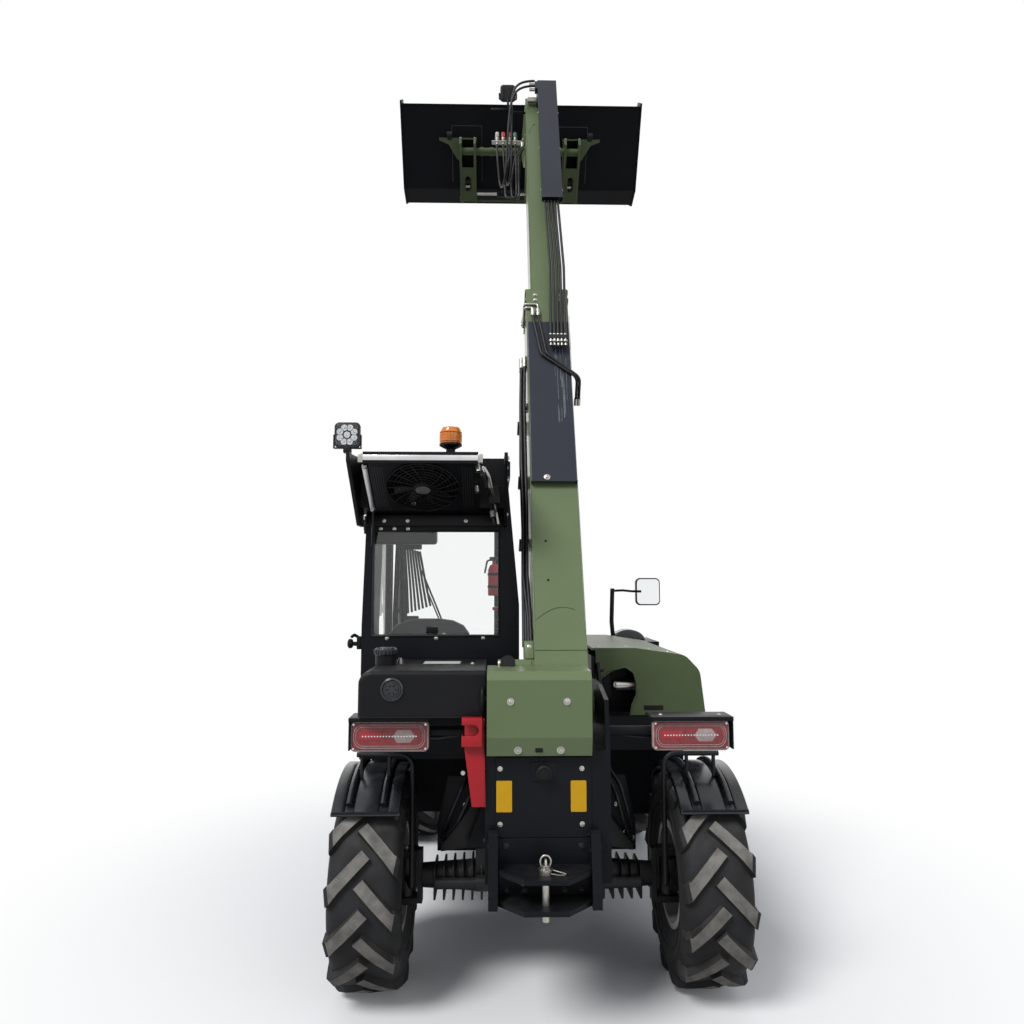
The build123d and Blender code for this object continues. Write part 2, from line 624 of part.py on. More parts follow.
with BuildPart() as engine_bay:
    slab((FRAME_RIGHT + SEAT_GAP, HOOD_RIGHT), (600, 1640), (600, HOOD_LOW - 6))
    slab((FRAME_RIGHT + 15, HOOD_RIGHT - 12), (615, 1625), (612, HOOD_LOW), mode=Mode.SUBTRACT)
    slab((FRAME_RIGHT + SEAT_GAP, HOOD_RIGHT), (HOOD_REAR, 600), (1060, HOOD_LOW - 6))
    slab((FRAME_RIGHT + 15, HOOD_RIGHT - 12), (HOOD_REAR + 12, 616), (1060 - 1, HOOD_LOW), mode=Mode.SUBTRACT)
    slab((FRAME_RIGHT + SEAT_GAP, HOOD_RIGHT), (HOOD_FRONT + 10, 1640), (HOOD_LOW - 6, 1530))
    slab((FRAME_RIGHT + SEAT_GAP, HOOD_LEFT + 10), (HOOD_REAR, HOOD_FRONT + 10), (HOOD_LOW - 6, 1535))
    # liner behind the hood's rear opening
    slab((HOOD_LEFT + 9, 660), (300, 306), (HOOD_LOW - 7, 1500))
    slab((HOOD_LEFT + 9, 660), (240, 306), (HOOD_LOW - 7, HOOD_LOW - 1))
    for y in HOOD_HINGES:
        slab((HOOD_LEFT, HOOD_LEFT + 10), (y - 50, y - 26), (1530, HOOD_PIN_Z))
        slab((HOOD_LEFT, HOOD_LEFT + 10), (y + 26, y + 50), (1530, HOOD_PIN_Z))
        bar(point(HOOD_PIN_X, y - 50, HOOD_PIN_Z), point(HOOD_PIN_X, y + 50, HOOD_PIN_Z), 6)
finish(engine_bay.part, "engine_bay")

with BuildPart() as engine_hood:
    plate(
        cross_plane(HOOD_REAR),
        [(HOOD_LEFT, HOOD_LOW), (HOOD_LEFT, HOOD_TOP), (520, HOOD_TOP), (780, 1540), (855, 1460),
         (HOOD_RIGHT, HOOD_LOW)],
        HOOD_REAR - HOOD_FRONT,
    )
    corner_edges = engine_hood.edges().filter_by(Axis.Y).filter_by_position(Axis.X, 700, 870)
    fillet(corner_edges.filter_by_position(Axis.Z, 1400, 1560), 75)
    plate(
        cross_plane(HOOD_REAR + HOOD_WALL),
        [(HOOD_LEFT - 1, HOOD_LOW - 1), (HOOD_LEFT - 1, HOOD_TOP - HOOD_WALL), (519, HOOD_TOP - HOOD_WALL),
         (774, 1528), (842, 1455), (HOOD_RIGHT - HOOD_WALL, HOOD_LOW - 1)],
        HOOD_REAR - HOOD_FRONT + 2 * HOOD_WALL, mode=Mode.SUBTRACT,
    )
    slab((HOOD_LEFT - 1, HOOD_LEFT + 16), (HOOD_REAR - 1, HOOD_FRONT + 1), (HOOD_LOW - 1, HOOD_TOP - HOOD_WALL),
         mode=Mode.SUBTRACT)
    # recess in the rear wall for the tailpipe
    plate(
        cross_plane(HOOD_REAR + HOOD_WALL + 1),
        [(335, HOOD_LOW - 1), (335, 1420), (400, 1465), (466, 1481), (510, 1450), (524, 1400), (524, 1340),
         (500, 1290), (490, HOOD_LOW - 1)],
        HOOD_WALL + 2, mode=Mode.SUBTRACT,
    )
    for y in HOOD_HINGES:
        bar(point(HOOD_PIN_X, y - 25, HOOD_PIN_Z), point(HOOD_PIN_X, y + 25, HOOD_PIN_Z), 11)
        slab((HOOD_PIN_X - 4, HOOD_PIN_X + 4), (y - 25, y + 25), (HOOD_PIN_Z + 6, HOOD_TOP - HOOD_WALL))
        bar(point(HOOD_PIN_X, y - 60, HOOD_PIN_Z), point(HOOD_PIN_X, y + 60, HOOD_PIN_Z), 6 + RUNNING_GAP,
            mode=Mode.SUBTRACT)
finish(engine_hood.part, "engine_hood")

with BuildPart() as exhaust_pipe:
    bar(point(430, 200, 1378), point(530, 200, 1378), 27)
    bar(point(440, 200, 1378), point(440, 299.7, 1378), 20)
finish(exhaust_pipe.part, "exhaust_pipe")

with BuildPart() as mirror:
    bar(point(590, 1320, 1530), point(590, 1320, 1870), 11)
    bar(point(580, 1320, 1860), point(780, 1320, 1860), 9)
    slab((751, 912), (1300, 1340), (1770, 1949))
    fillet(mirror.edges().filter_by(Axis.Y).filter_by_position(Axis.X, 750, 913), 24)
finish(mirror.part, "mirror")

# ---------------------------------------------------------------- boom

with BuildPart() as boom_outer:
    plate(
        boom_plane(BOOM_X - OUTER_HALF),
        [(-80, -60), (-80, 120), (60, OUTER_HIGH), (OUTER_LENGTH, OUTER_HIGH), (OUTER_LENGTH, OUTER_LOW),
         (150, OUTER_LOW), (60, -90), (-40, -90)],
        2 * OUTER_HALF,
    )
    bar(boom_point(FRAME_LEFT + FRAME_PLATE + SIDE_GAP, 0, 0),
        boom_point(FRAME_RIGHT - FRAME_PLATE - SIDE_GAP, 0, 0), 80)
    plate(
        boom_plane(BOOM_X - OUTER_HALF + OUTER_WALL),
        [(130, OUTER_LOW + OUTER_WALL), (130, OUTER_HIGH - OUTER_WALL),
         (OUTER_LENGTH + 1, OUTER_HIGH - OUTER_WALL), (OUTER_LENGTH + 1, OUTER_LOW + OUTER_WALL)],
        2 * (OUTER_HALF - OUTER_WALL), mode=Mode.SUBTRACT,
    )
    # valve box on the left of the boom's base, narrower where it passes the cab as the boom comes down
    for left, end in ((BOOM_X - 295, VALVE_END), (CAB_RIGHT + VALVE_GAP, 255)):
        width = BOOM_X - OUTER_HALF + 1 - left
        plate(boom_plane(left), [(-60, 120), (-60, 215), (end, 215), (end, 120)], width)
    # wear pads at the mouth
    pad_start = OUTER_LENGTH - 120
    pad_end = OUTER_LENGTH - 10
    for low, high in (
        (OUTER_LOW + OUTER_WALL, INNER_LOW - PAD_GAP),
        (INNER_HIGH + PAD_GAP, OUTER_HIGH - OUTER_WALL),
    ):
        plate(
            boom_plane(BOOM_X - 60),
            [(pad_start, low), (pad_start, high), (pad_end, high), (pad_end, low)],
            120,
        )
    for low, high in (
        (-OUTER_HALF + OUTER_WALL, -INNER_HALF - PAD_GAP),
        (INNER_HALF + PAD_GAP, OUTER_HALF - OUTER_WALL),
    ):
        plate(
            boom_plane(BOOM_X + low),
            [(pad_start, 40), (pad_start, 120), (pad_end, 120), (pad_end, 40)],
            high - low,
        )
    # ears for the lift cylinder's rod
    for low in (BOOM_X - 75, BOOM_X + 50):
        plate(
            boom_plane(low),
            [(LIFT_EYE_U - 120, OUTER_LOW + 1), (LIFT_EYE_U - 40, LIFT_EYE_V - 40),
             (LIFT_EYE_U + 40, LIFT_EYE_V - 40), (LIFT_EYE_U + 120, OUTER_LOW + 1)],
            25,
        )
    bar(boom_point(FRAME_LEFT, 0, 0), boom_point(FRAME_RIGHT, 0, 0), PIVOT_PIN_R + RUNNING_GAP, mode=Mode.SUBTRACT)
finish(boom_outer.part, "boom_outer")

with BuildPart() as boom_cover:
    plate(
        boom_plane(BOOM_X - 121),
        [(COVER_START, OUTER_HIGH), (COVER_START, COVER_HIGH), (COVER_END, COVER_HIGH), (COVER_END, OUTER_HIGH)],
        242,
    )
    plate(
        boom_plane(BOOM_X - 117),
        [(COVER_START - 8, OUTER_HIGH - 1), (COVER_START - 8, COVER_HIGH - 4), (COVER_END + 1, COVER_HIGH - 4),
         (COVER_END + 1, OUTER_HIGH - 1)],
        234, mode=Mode.SUBTRACT,
    )
finish(boom_cover.part, "boom_cover")

# pipes on the outer boom: (end of the pipe up the boom, place of its fitting across)
PIPE_RUNS = ((2330, 12), (2358, 44))
PIPE_HOSE_V = COVER_HIGH + HOSE_R + 3
with BuildPart() as boom_pipes:
    for high, across in PIPE_RUNS:
        side = 250 + (across - 12) / 2
        pipe(
            [boom_point(-38, high, 120), boom_point(-38, high, 240), boom_point(across, high, 240),
             boom_point(across, 2300, 243.3)],
            [20, 20], 6.5,
        )
        bar(boom_point(across, 2312, 243.3), boom_point(across, 2262, 243.3), 13)
        pipe(
            [boom_point(across, 2265, 243.3), boom_point(across, 2222, PIPE_HOSE_V),
             boom_point(across + 40, 1950, PIPE_HOSE_V), boom_point(side, 1780, PIPE_HOSE_V),
             boom_point(side, 1700, 150)],
            [24, 90, 60], HOSE_R,
        )
finish(boom_pipes.part, "boom_pipes")

with BuildPart() as boom_inner:
    plate(
        boom_plane(BOOM_X - INNER_HALF),
        [(INNER_REAR, INNER_LOW), (INNER_REAR, INNER_HIGH), (INNER_TIP, INNER_HIGH), (INNER_TIP, INNER_LOW)],
        2 * INNER_HALF,
    )
    for low in (BOOM_X - INNER_HALF, BOOM_X + INNER_HALF - 20):
        plate(
            boom_plane(low),
            [(4120, INNER_LOW + 5), (INNER_TIP, INNER_HIGH - 60), (4500, 60), (HITCH_U + 40, HITCH_V + 130),
             (HITCH_U + 62, HITCH_V), (HITCH_U + 40, HITCH_V - 50), (HITCH_U - 10, HITCH_V - 62),
             (HITCH_U - 60, HITCH_V - 30), (4300, -300)],
            20,
        )
    plate(
        boom_plane(BOOM_X - INNER_HALF + INNER_WALL),
        [(INNER_REAR - 1, INNER_LOW + INNER_WALL), (INNER_REAR - 1, INNER_HIGH - INNER_WALL),
         (4120, INNER_HIGH - INNER_WALL), (4120, INNER_LOW + INNER_WALL)],
        2 * (INNER_HALF - INNER_WALL), mode=Mode.SUBTRACT,
    )
    plate(
        boom_plane(BOOM_X - INNER_HALF + 20),
        [(4100, INNER_LOW + INNER_WALL), (4100, INNER_HIGH - INNER_WALL),
         (INNER_TIP + 1, INNER_HIGH - INNER_WALL), (INNER_TIP + 1, INNER_LOW - 1), (4165, INNER_LOW - 1), (4165, INNER_LOW + INNER_WALL)],
        2 * (INNER_HALF - 20), mode=Mode.SUBTRACT,
    )
    bar(boom_point(BOOM_X - INNER_HALF + 5, TILT_BASE_U, TILT_BASE_V),
        boom_point(BOOM_X + INNER_HALF - 5, TILT_BASE_U, TILT_BASE_V), 20)
    bar(boom_point(BOOM_X - INNER_HALF - EAR_PLATE, HITCH_U, HITCH_V),
        boom_point(BOOM_X + INNER_HALF + EAR_PLATE, HITCH_U, HITCH_V),
        HITCH_TUBE_R + RUNNING_GAP, mode=Mode.SUBTRACT)
finish(boom_inner.part, "boom_inner")

with BuildPart() as hose_guard:
    plate(boom_plane(BOOM_X - 12), [(3200, GUARD_LOW), (3200, 325), (4430, 325), (4430, GUARD_LOW)], 135)
    plate(boom_plane(BOOM_X - 8), [(3199, GUARD_LOW + 3), (3199, 321), (4431, 321), (4431, GUARD_LOW + 3)], 127,
          mode=Mode.SUBTRACT)
    plate(boom_plane(BOOM_X - 5), [(4340, INNER_HIGH), (4340, GUARD_LOW), (4400, GUARD_LOW), (4400, INNER_HIGH)], 80)
    for start in (3230, 4310):
        end = start + 40
        plate(boom_plane(BOOM_X - 9), [(start, GUARD_LOW + 2), (start, 322), (end, 322), (end, GUARD_LOW + 2)], 129)
    # block on the guard's left for the two head hoses
    plate(boom_plane(BOOM_X - 30), [(4345, 275), (4345, 320), (4425, 320), (4425, 275)], 19)
    for across in HOSE_PLACES:
        bar(boom_point(across, 3225, HOSE_V), boom_point(across, 3275, HOSE_V), HOSE_R + RUNNING_GAP,
            mode=Mode.SUBTRACT)
        bar(boom_point(across, 4305, HOSE_V), boom_point(across, 4355, HOSE_V), HOSE_R + RUNNING_GAP,
            mode=Mode.SUBTRACT)
finish(hose_guard.part, "hose_guard")

with BuildPart() as boom_hoses:
    for across in HOSE_PLACES:
        pipe(
            [boom_point(across, 4345, HOSE_V), boom_point(across, 3150, HOSE_V),
             boom_point(across + 14, 2600, HOSE_V), boom_point(across, 2040, HOSE_V)],
            [400, 400], HOSE_R,
        )
        bar(boom_point(across, 2075, HOSE_V), boom_point(across, 2000, HOSE_V), HOSE_R + 1.5)
    plate(
        boom_plane(HOSE_PLACES[0] - 12),
        [(2030, HOSE_V - 9), (2030, HOSE_V + 12), (2060, HOSE_V + 12), (2060, HOSE_V - 9)],
        HOSE_PLACES[-1] - HOSE_PLACES[0] + 24,
    )
finish(boom_hoses.part, "boom_hoses")

with BuildPart() as hose_couplers:
    plate(boom_plane(-240), [(4205, -34), (4205, -4), (4213, -4), (4213, -34)], 244.7)
    for across in COUPLER_PLACES:
        bar(boom_point(across, 4214, -19), boom_point(across, 4262, -19), 14)
        bar(boom_point(across, 4206, -19), boom_point(across, 4180, -19), 11)
        bar(boom_point(across, 4212, -19), boom_point(across, 4215, -19), 10)
finish(hose_couplers.part, "hose_couplers")

with BuildPart() as boom_lamp:
    plate(boom_plane(BOOM_X - INNER_HALF - 190), [(4330, 180), (4330, 240), (4430, 240), (4430, 180)], 125)
    plate(boom_plane(BOOM_X - INNER_HALF - 70), [(4360, 130), (4360, 200), (4380, 200), (4380, 130)],
          70 - SEAT_GAP)
finish(boom_lamp.part, "boom_lamp")

# ---------------------------------------------------------------- hitch carriage and bucket

# left faces of the carriage's four side plates
SIDE_PLATES = (-510.0, -393.0, 353.0, 469.0)
SIDE_PLATE = 20.0

with BuildPart() as carriage:
    bar(hitch_point(-510, 0, 0), hitch_point(489, 0, 0), HITCH_TUBE_R)
    for low in SIDE_PLATES:
        plate(
            hitch_plane(low),
            [(-45, -60), (-45, 60), (0, 100), (150, 100), (150, -400), (60, -400), (0, -120)],
            SIDE_PLATE,
        )
    # sloping plate with its oval hole, and top plate, between each pair
    for low in SIDE_PLATES[0::2]:
        width = SIDE_PLATES[1] - SIDE_PLATES[0]
        plate(hitch_plane(low + 1), [(2, -120), (60, -390), (76, -390), (18, -120)], width)
        plate(hitch_plane(low + 1), [(0, 88), (0, 99), (149, 99), (149, 88)], width)
        with BuildSketch(hitch_face(-20)) as oval:
            with Locations((low + (width + SIDE_PLATE) / 2, -250)):
                SlotOverall(120, 50, rotation=90)
        extrude(oval.sketch, amount=-140, mode=Mode.SUBTRACT)
    # hooks at both ends
    for inner, outer in ((-500, -676), (479, 650)):
        hand = 1 if outer > inner else -1
        plate(
            hitch_face(40),
            [(inner, 100), (outer, 100), (outer, 80), (outer - hand * 76, 50), (outer - hand * 146, -60),
             (inner, -80)],
            20,
        )
    plate(hitch_plane(SIDE_PLATES[0] + 1), [(130, -398), (130, -380), (149, -380), (149, -398)],
          SIDE_PLATES[-1] - SIDE_PLATES[0])
    for low in (BOOM_X - INNER_HALF + LEVER_INSET, BOOM_X + INNER_HALF - LEVER_INSET - LEVER_PLATE):
        plate(
            hitch_plane(low),
            [(-45, 145), (-45, 200), (10, 240), (60, 200), (60, -60), (150, -380), (150, -400), (110, -400),
             (20, -110), (-35, -50)],
            LEVER_PLATE,
        )
    for low in (BOOM_X - INNER_HALF - EAR_GAP - EAR_PLATE, BOOM_X + INNER_HALF + EAR_GAP):
        plate(
            hitch_plane(low),
            [(-50, -50), (-50, 50), (40, 60), (60, 0), (150, -380), (150, -400), (110, -400), (20, -80)],
            EAR_PLATE,
        )
finish(carriage.part, "carriage")

with BuildPart() as bucket:
    bucket_outline = [(BUCKET_BACK, BUCKET_HEEL + 130), (BUCKET_BACK, BUCKET_TOP),
                      (BUCKET_BACK + 130, BUCKET_TOP + 20), (BUCKET_BACK + BUCKET_DEPTH, BUCKET_HEEL + 30), (BUCKET_BACK + BUCKET_DEPTH, BUCKET_HEEL),
                      (BUCKET_BACK + 130, BUCKET_HEEL)]
    plate(hitch_plane(-BUCKET_W / 2), bucket_outline, BUCKET_W)
    wall = BUCKET_WALL
    plate(
        hitch_plane(-BUCKET_W / 2 + wall),
        [(BUCKET_BACK + wall, BUCKET_HEEL + 134), (BUCKET_BACK + wall, BUCKET_TOP - wall),
         (BUCKET_BACK + 200, BUCKET_TOP + 200), (BUCKET_BACK + BUCKET_DEPTH + 300, BUCKET_HEEL + wall),
         (BUCKET_BACK + 134, BUCKET_HEEL + wall)],
        BUCKET_W - 2 * wall, mode=Mode.SUBTRACT,
    )
    for low in (-BUCKET_W / 2, BUCKET_W / 2 - 14):
        plate(
            hitch_plane(low),
            [(BUCKET_BACK - 8, BUCKET_HEEL + 126), (BUCKET_BACK - 8, BUCKET_TOP + 25),
             (BUCKET_BACK + 140, BUCKET_TOP + 35),
             (BUCKET_BACK + BUCKET_DEPTH + 10, BUCKET_HEEL + 45), (BUCKET_BACK + BUCKET_DEPTH + 10, BUCKET_HEEL - 10),
             (BUCKET_BACK + 126, BUCKET_HEEL - 10)],
            14,
        )
    for low in SIDE_PLATES:
        plate(
            hitch_plane(low),
            [(150.3, -280), (150.3, 90), (BUCKET_BACK + 1, 90), (BUCKET_BACK + 1, -280)],
            SIDE_PLATE,
        )
finish(bucket.part, "bucket")

# ---------------------------------------------------------------- cylinders


def cylinder_places(base, eye):
    """The unit direction from a cylinder's base to its eye, and their distance."""
    run = Vector(*eye) - Vector(*base)
    return run.normalized(), run.length


lift_base = point(BOOM_X, LIFT_BASE_Y, LIFT_BASE_Z)
lift_eye = boom_point(BOOM_X, LIFT_EYE_U, LIFT_EYE_V)
lift_axis, lift_length = cylinder_places(lift_base, lift_eye)
tilt_base = boom_point(BOOM_X, TILT_BASE_U, TILT_BASE_V)
tilt_eye = hitch_point(BOOM_X, 0, TILT_LEVER)
tilt_axis, tilt_length = cylinder_places(tilt_base, tilt_eye)


def along(base, axis, distance):
    """The place at a distance from a cylinder's base."""
    spot = Vector(*base) + axis * distance
    return (spot.X, spot.Y, spot.Z)


def make_cylinder(name, base, axis, length, bore_start, barrel_end, radii, half_width, pin_radius, rod_length):
    """A barrel with its base lug, and a rod with its eye and the middle of its pin."""
    barrel_r, bore_r, rod_r, lug_r = radii
    with BuildPart() as barrel:
        bar(base, along(base, axis, lug_r + 25), lug_r * 0.75)
        bar(along(base, axis, lug_r + 22), along(base, axis, barrel_end), barrel_r)
        side = Vector(half_width, 0, 0)
        bar(tuple(Vector(*base) - side), tuple(Vector(*base) + side), lug_r)
        bar(along(base, axis, bore_start), along(base, axis, barrel_end - 40), bore_r, mode=Mode.SUBTRACT)
        bar(along(base, axis, bore_start), along(base, axis, barrel_end + 1), rod_r + SEAT_GAP, mode=Mode.SUBTRACT)
        bar(tuple(Vector(*base) - side * 2), tuple(Vector(*base) + side * 2), pin_radius + RUNNING_GAP,
            mode=Mode.SUBTRACT)
    finish(barrel.part, f"{name}_cylinder")
    with BuildPart() as rod:
        eye = along(base, axis, length)
        bar(along(base, axis, length - rod_length), along(base, axis, length - 5), rod_r)
        bar(tuple(Vector(*eye) - side), tuple(Vector(*eye) + side), lug_r * 0.8)
    finish(rod.part, f"{name}_rod")


make_cylinder("lift", lift_base, lift_axis, lift_length, 110, 800, (60, 48, 35, 50), 45, LIFT_PIN_R, 770)
# the tilt cylinder's lugs fit between the carriage's two levers
tilt_lug_half = INNER_HALF - LEVER_INSET - LEVER_PLATE - LEVER_GAP
make_cylinder("tilt", tilt_base, tilt_axis, tilt_length, 70, 480, (42, 34, 24, 42), tilt_lug_half, 20.0, 470)

# ---------------------------------------------------------------- head hoses

# two free hoses from the guard's block down to the couplers' nipples: (x, y, z) from the rear axle
HEAD_HOSE_R = 8.0
HEAD_HOSES = {
    "head_hose_outer": (
        (69.7, 1268, 5470), (-30, 1268, 5470), (-100, 1276, 5380), (-118, 1276, 5200), (-130, 1276, 5000),
        (-138, 1276, 4780), (-175, 1458, 4780), (-192, 1459, 4965), COUPLER_PLACES[0],
    ),
    "head_hose_inner": (
        (69.7, 1291, 5524), (-35, 1291, 5524), (-98, 1300, 5430), (-97, 1292, 5250), (-98, 1284, 5040),
        (-100, 1284, 4800), (-132, 1461, 4800), (-148, 1461, 4983), COUPLER_PLACES[1],
    ),
}
for hose_name, places in HEAD_HOSES.items():
    nipple = boom_point(places[-1], 4180, -19)
    below = boom_point(places[-1], 4090, -19)
    route_places = [point(*place) for place in places[:-1]] + [below, nipple]
    arcs = full_arcs(route_places)
    with BuildPart() as head_hose:
        pipe(route_places, arcs, HEAD_HOSE_R)
    finish(head_hose.part, hose_name)
    print(hose_name, "bend radii", [round(value, 1) for value in arcs])
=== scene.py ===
"""Looks of the telehandler: materials, tread, bolts, lamps, seat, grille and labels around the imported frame.

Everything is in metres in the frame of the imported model: X to the right, Y forward, Z up.
"""
import math
import random

import bmesh
import bpy
from mathutils import Matrix, Vector


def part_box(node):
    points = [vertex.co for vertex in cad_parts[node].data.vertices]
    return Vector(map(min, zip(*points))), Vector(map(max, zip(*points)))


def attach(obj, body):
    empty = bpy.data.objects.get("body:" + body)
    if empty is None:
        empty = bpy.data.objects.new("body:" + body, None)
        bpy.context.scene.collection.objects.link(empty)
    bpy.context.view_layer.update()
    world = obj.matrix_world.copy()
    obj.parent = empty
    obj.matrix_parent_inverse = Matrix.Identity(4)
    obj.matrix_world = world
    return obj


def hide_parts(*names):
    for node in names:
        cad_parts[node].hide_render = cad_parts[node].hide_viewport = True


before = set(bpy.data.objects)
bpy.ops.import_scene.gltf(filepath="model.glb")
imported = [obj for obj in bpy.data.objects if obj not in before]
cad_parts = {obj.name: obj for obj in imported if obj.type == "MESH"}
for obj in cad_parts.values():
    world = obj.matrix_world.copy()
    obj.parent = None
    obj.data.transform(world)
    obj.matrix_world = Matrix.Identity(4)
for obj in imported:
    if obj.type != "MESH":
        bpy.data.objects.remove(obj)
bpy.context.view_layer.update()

X_AXIS = Vector((1, 0, 0))
Y_AXIS = Vector((0, 1, 0))
Z_AXIS = Vector((0, 0, 1))

# ---------------------------------------------------------------- camera, light and floor

CAMERA_PLACE = Vector((-0.21, -5.17, 1.897))
CAMERA_PITCH = 5.5
CAMERA_YAW = 1.27
CAMERA_LENS = 27.04
SKY_STRENGTH = 0.34
FLOOR_NEAR = 1.2
FLOOR_FAR = 3.6


def make_camera():
    """The camera behind the machine, a little above its mudguards, looking slightly up."""
    data = bpy.data.cameras.new("camera")
    data.lens = CAMERA_LENS
    data.sensor_width = 36.0
    data.clip_end = 200.0
    camera = bpy.data.objects.new("camera", data)
    camera.location = CAMERA_PLACE
    camera.rotation_euler = (math.radians(90 + CAMERA_PITCH), 0, math.radians(-CAMERA_YAW))
    bpy.context.collection.objects.link(camera)
    bpy.context.scene.camera = camera


def make_sun(name, direction, strength, angle):
    """A broad soft lamp that shines along a direction from far away."""
    data = bpy.data.lights.new(name, "SUN")
    data.energy = strength
    data.angle = math.radians(angle)
    lamp = bpy.data.objects.new(name, data)
    lamp.rotation_mode = "QUATERNION"
    lamp.rotation_quaternion = Vector(direction).to_track_quat("-Z", "Y")
    bpy.context.collection.objects.link(lamp)


def background_rays(tree):
    """1 for what the camera sees straight, mirrored or through glass, else 0."""
    rays = tree.nodes.new("ShaderNodeLightPath")
    total = rays.outputs["Is Camera Ray"]
    for kind in ("Is Glossy Ray", "Is Transmission Ray"):
        more = tree.nodes.new("ShaderNodeMath")
        more.operation = "MAXIMUM"
        tree.links.new(total, more.inputs[0])
        tree.links.new(rays.outputs[kind], more.inputs[1])
        total = more.outputs[0]
    return total


def make_surround():
    """White to the camera and in mirrors, a plain soft sky to everything else."""
    world = bpy.data.worlds.new("surround")
    bpy.context.scene.world = world
    world.use_nodes = True
    tree = world.node_tree
    tree.nodes.clear()
    output = tree.nodes.new("ShaderNodeOutputWorld")
    mix = tree.nodes.new("ShaderNodeMixShader")
    sky = tree.nodes.new("ShaderNodeBackground")
    sky.inputs["Color"].default_value = (0.84, 0.90, 1.0, 1)
    sky.inputs["Strength"].default_value = SKY_STRENGTH
    white = tree.nodes.new("ShaderNodeBackground")
    white.inputs["Color"].default_value = (1, 1, 1, 1)
    white.inputs["Strength"].default_value = 1.0
    tree.links.new(background_rays(tree), mix.inputs[0])
    tree.links.new(sky.outputs[0], mix.inputs[1])
    tree.links.new(white.outputs[0], mix.inputs[2])
    tree.links.new(mix.outputs[0], output.inputs[0])


def make_floor():
    """A pale floor that takes the machine's shadow and fades into the white surround."""
    mesh = bpy.data.meshes.new("floor")
    half = 60.0
    mesh.from_pydata([(-half, -half, 0), (half, -half, 0), (half, half, 0), (-half, half, 0)], [],
                     [(0, 1, 2, 3)])
    floor = bpy.data.objects.new("floor", mesh)
    bpy.context.collection.objects.link(floor)
    pale = bpy.data.materials.new("floor_pale")
    pale.use_nodes = True
    tree = pale.node_tree
    shader = tree.nodes["Principled BSDF"]
    seen = background_rays(tree)
    tone = tree.nodes.new("ShaderNodeMixRGB")
    tone.inputs["Color1"].default_value = (0.32, 0.32, 0.32, 1)
    tone.inputs["Color2"].default_value = (0.86, 0.86, 0.86, 1)
    tree.links.new(seen, tone.inputs["Fac"])
    tree.links.new(tone.outputs["Color"], shader.inputs["Base Color"])
    shader.inputs["Roughness"].default_value = 0.9
    shader.inputs["Specular IOR Level"].default_value = 0.0
    glow = tree.nodes.new("ShaderNodeEmission")
    glow.inputs["Color"].default_value = (1, 1, 1, 1)
    glow.inputs["Strength"].default_value = 1.0
    place = tree.nodes.new("ShaderNodeTexCoord")
    distance = tree.nodes.new("ShaderNodeVectorMath")
    distance.operation = "LENGTH"
    tree.links.new(place.outputs["Object"], distance.inputs[0])
    fade = tree.nodes.new("ShaderNodeMapRange")
    fade.interpolation_type = "SMOOTHSTEP"
    fade.inputs["From Min"].default_value = FLOOR_NEAR
    fade.inputs["From Max"].default_value = FLOOR_FAR
    tree.links.new(distance.outputs["Value"], fade.inputs["Value"])
    amount = tree.nodes.new("ShaderNodeMath")
    amount.operation = "MULTIPLY"
    tree.links.new(fade.outputs["Result"], amount.inputs[0])
    tree.links.new(seen, amount.inputs[1])
    mix = tree.nodes.new("ShaderNodeMixShader")
    tree.links.new(amount.outputs[0], mix.inputs[0])
    tree.links.new(shader.outputs[0], mix.inputs[1])
    tree.links.new(glow.outputs[0], mix.inputs[2])
    tree.links.new(mix.outputs[0], tree.nodes["Material Output"].inputs[0])
    mesh.materials.append(pale)


def make_studio():
    """The surround, the floor and three broad soft lamps."""
    bpy.context.scene.view_settings.view_transform = "Standard"
    make_surround()
    make_floor()
    make_sun("key_lamp", (0.50, 0.52, -0.80), 2.3, 22)
    make_sun("fill_lamp", (-0.60, 0.55, -0.45), 0.5, 60)
    make_sun("front_lamp", (0.1, -0.8, -0.6), 0.6, 60)


# ---------------------------------------------------------------- materials


def new_material(name):
    """An empty material: its node tree, its shader and its output are returned with it."""
    material = bpy.data.materials.new(name)
    material.use_nodes = True
    tree = material.node_tree
    return material, tree, tree.nodes["Principled BSDF"]


def place_node(tree, scale):
    """Object coordinates scaled for a texture."""
    coordinates = tree.nodes.new("ShaderNodeTexCoord")
    mapping = tree.nodes.new("ShaderNodeMapping")
    mapping.inputs["Scale"].default_value = scale if isinstance(scale, tuple) else (scale,) * 3
    tree.links.new(coordinates.outputs["Object"], mapping.inputs["Vector"])
    return mapping.outputs["Vector"]


def noise_node(tree, scale, detail=4.0):
    """A noise whose grain is set in parts per metre."""
    noise = tree.nodes.new("ShaderNodeTexNoise")
    noise.inputs["Scale"].default_value = 1.0
    noise.inputs["Detail"].default_value = detail
    tree.links.new(place_node(tree, scale), noise.inputs["Vector"])
    return noise.outputs["Fac"]


def ramp_node(tree, value, stops):
    """A colour ramp over a value; stops are (position, colour)."""
    ramp = tree.nodes.new("ShaderNodeValToRGB")
    elements = ramp.color_ramp.elements
    while len(elements) < len(stops):
        elements.new(0.5)
    for element, (position, colour) in zip(elements, stops):
        element.position = position
        element.color = (*colour, 1)
    tree.links.new(value, ramp.inputs["Fac"])
    return ramp.outputs["Color"]


def range_node(tree, value, low, high):
    """A value from 0 to 1 mapped to another range."""
    mapped = tree.nodes.new("ShaderNodeMapRange")
    mapped.inputs["To Min"].default_value = low
    mapped.inputs["To Max"].default_value = high
    tree.links.new(value, mapped.inputs["Value"])
    return mapped.outputs["Result"]


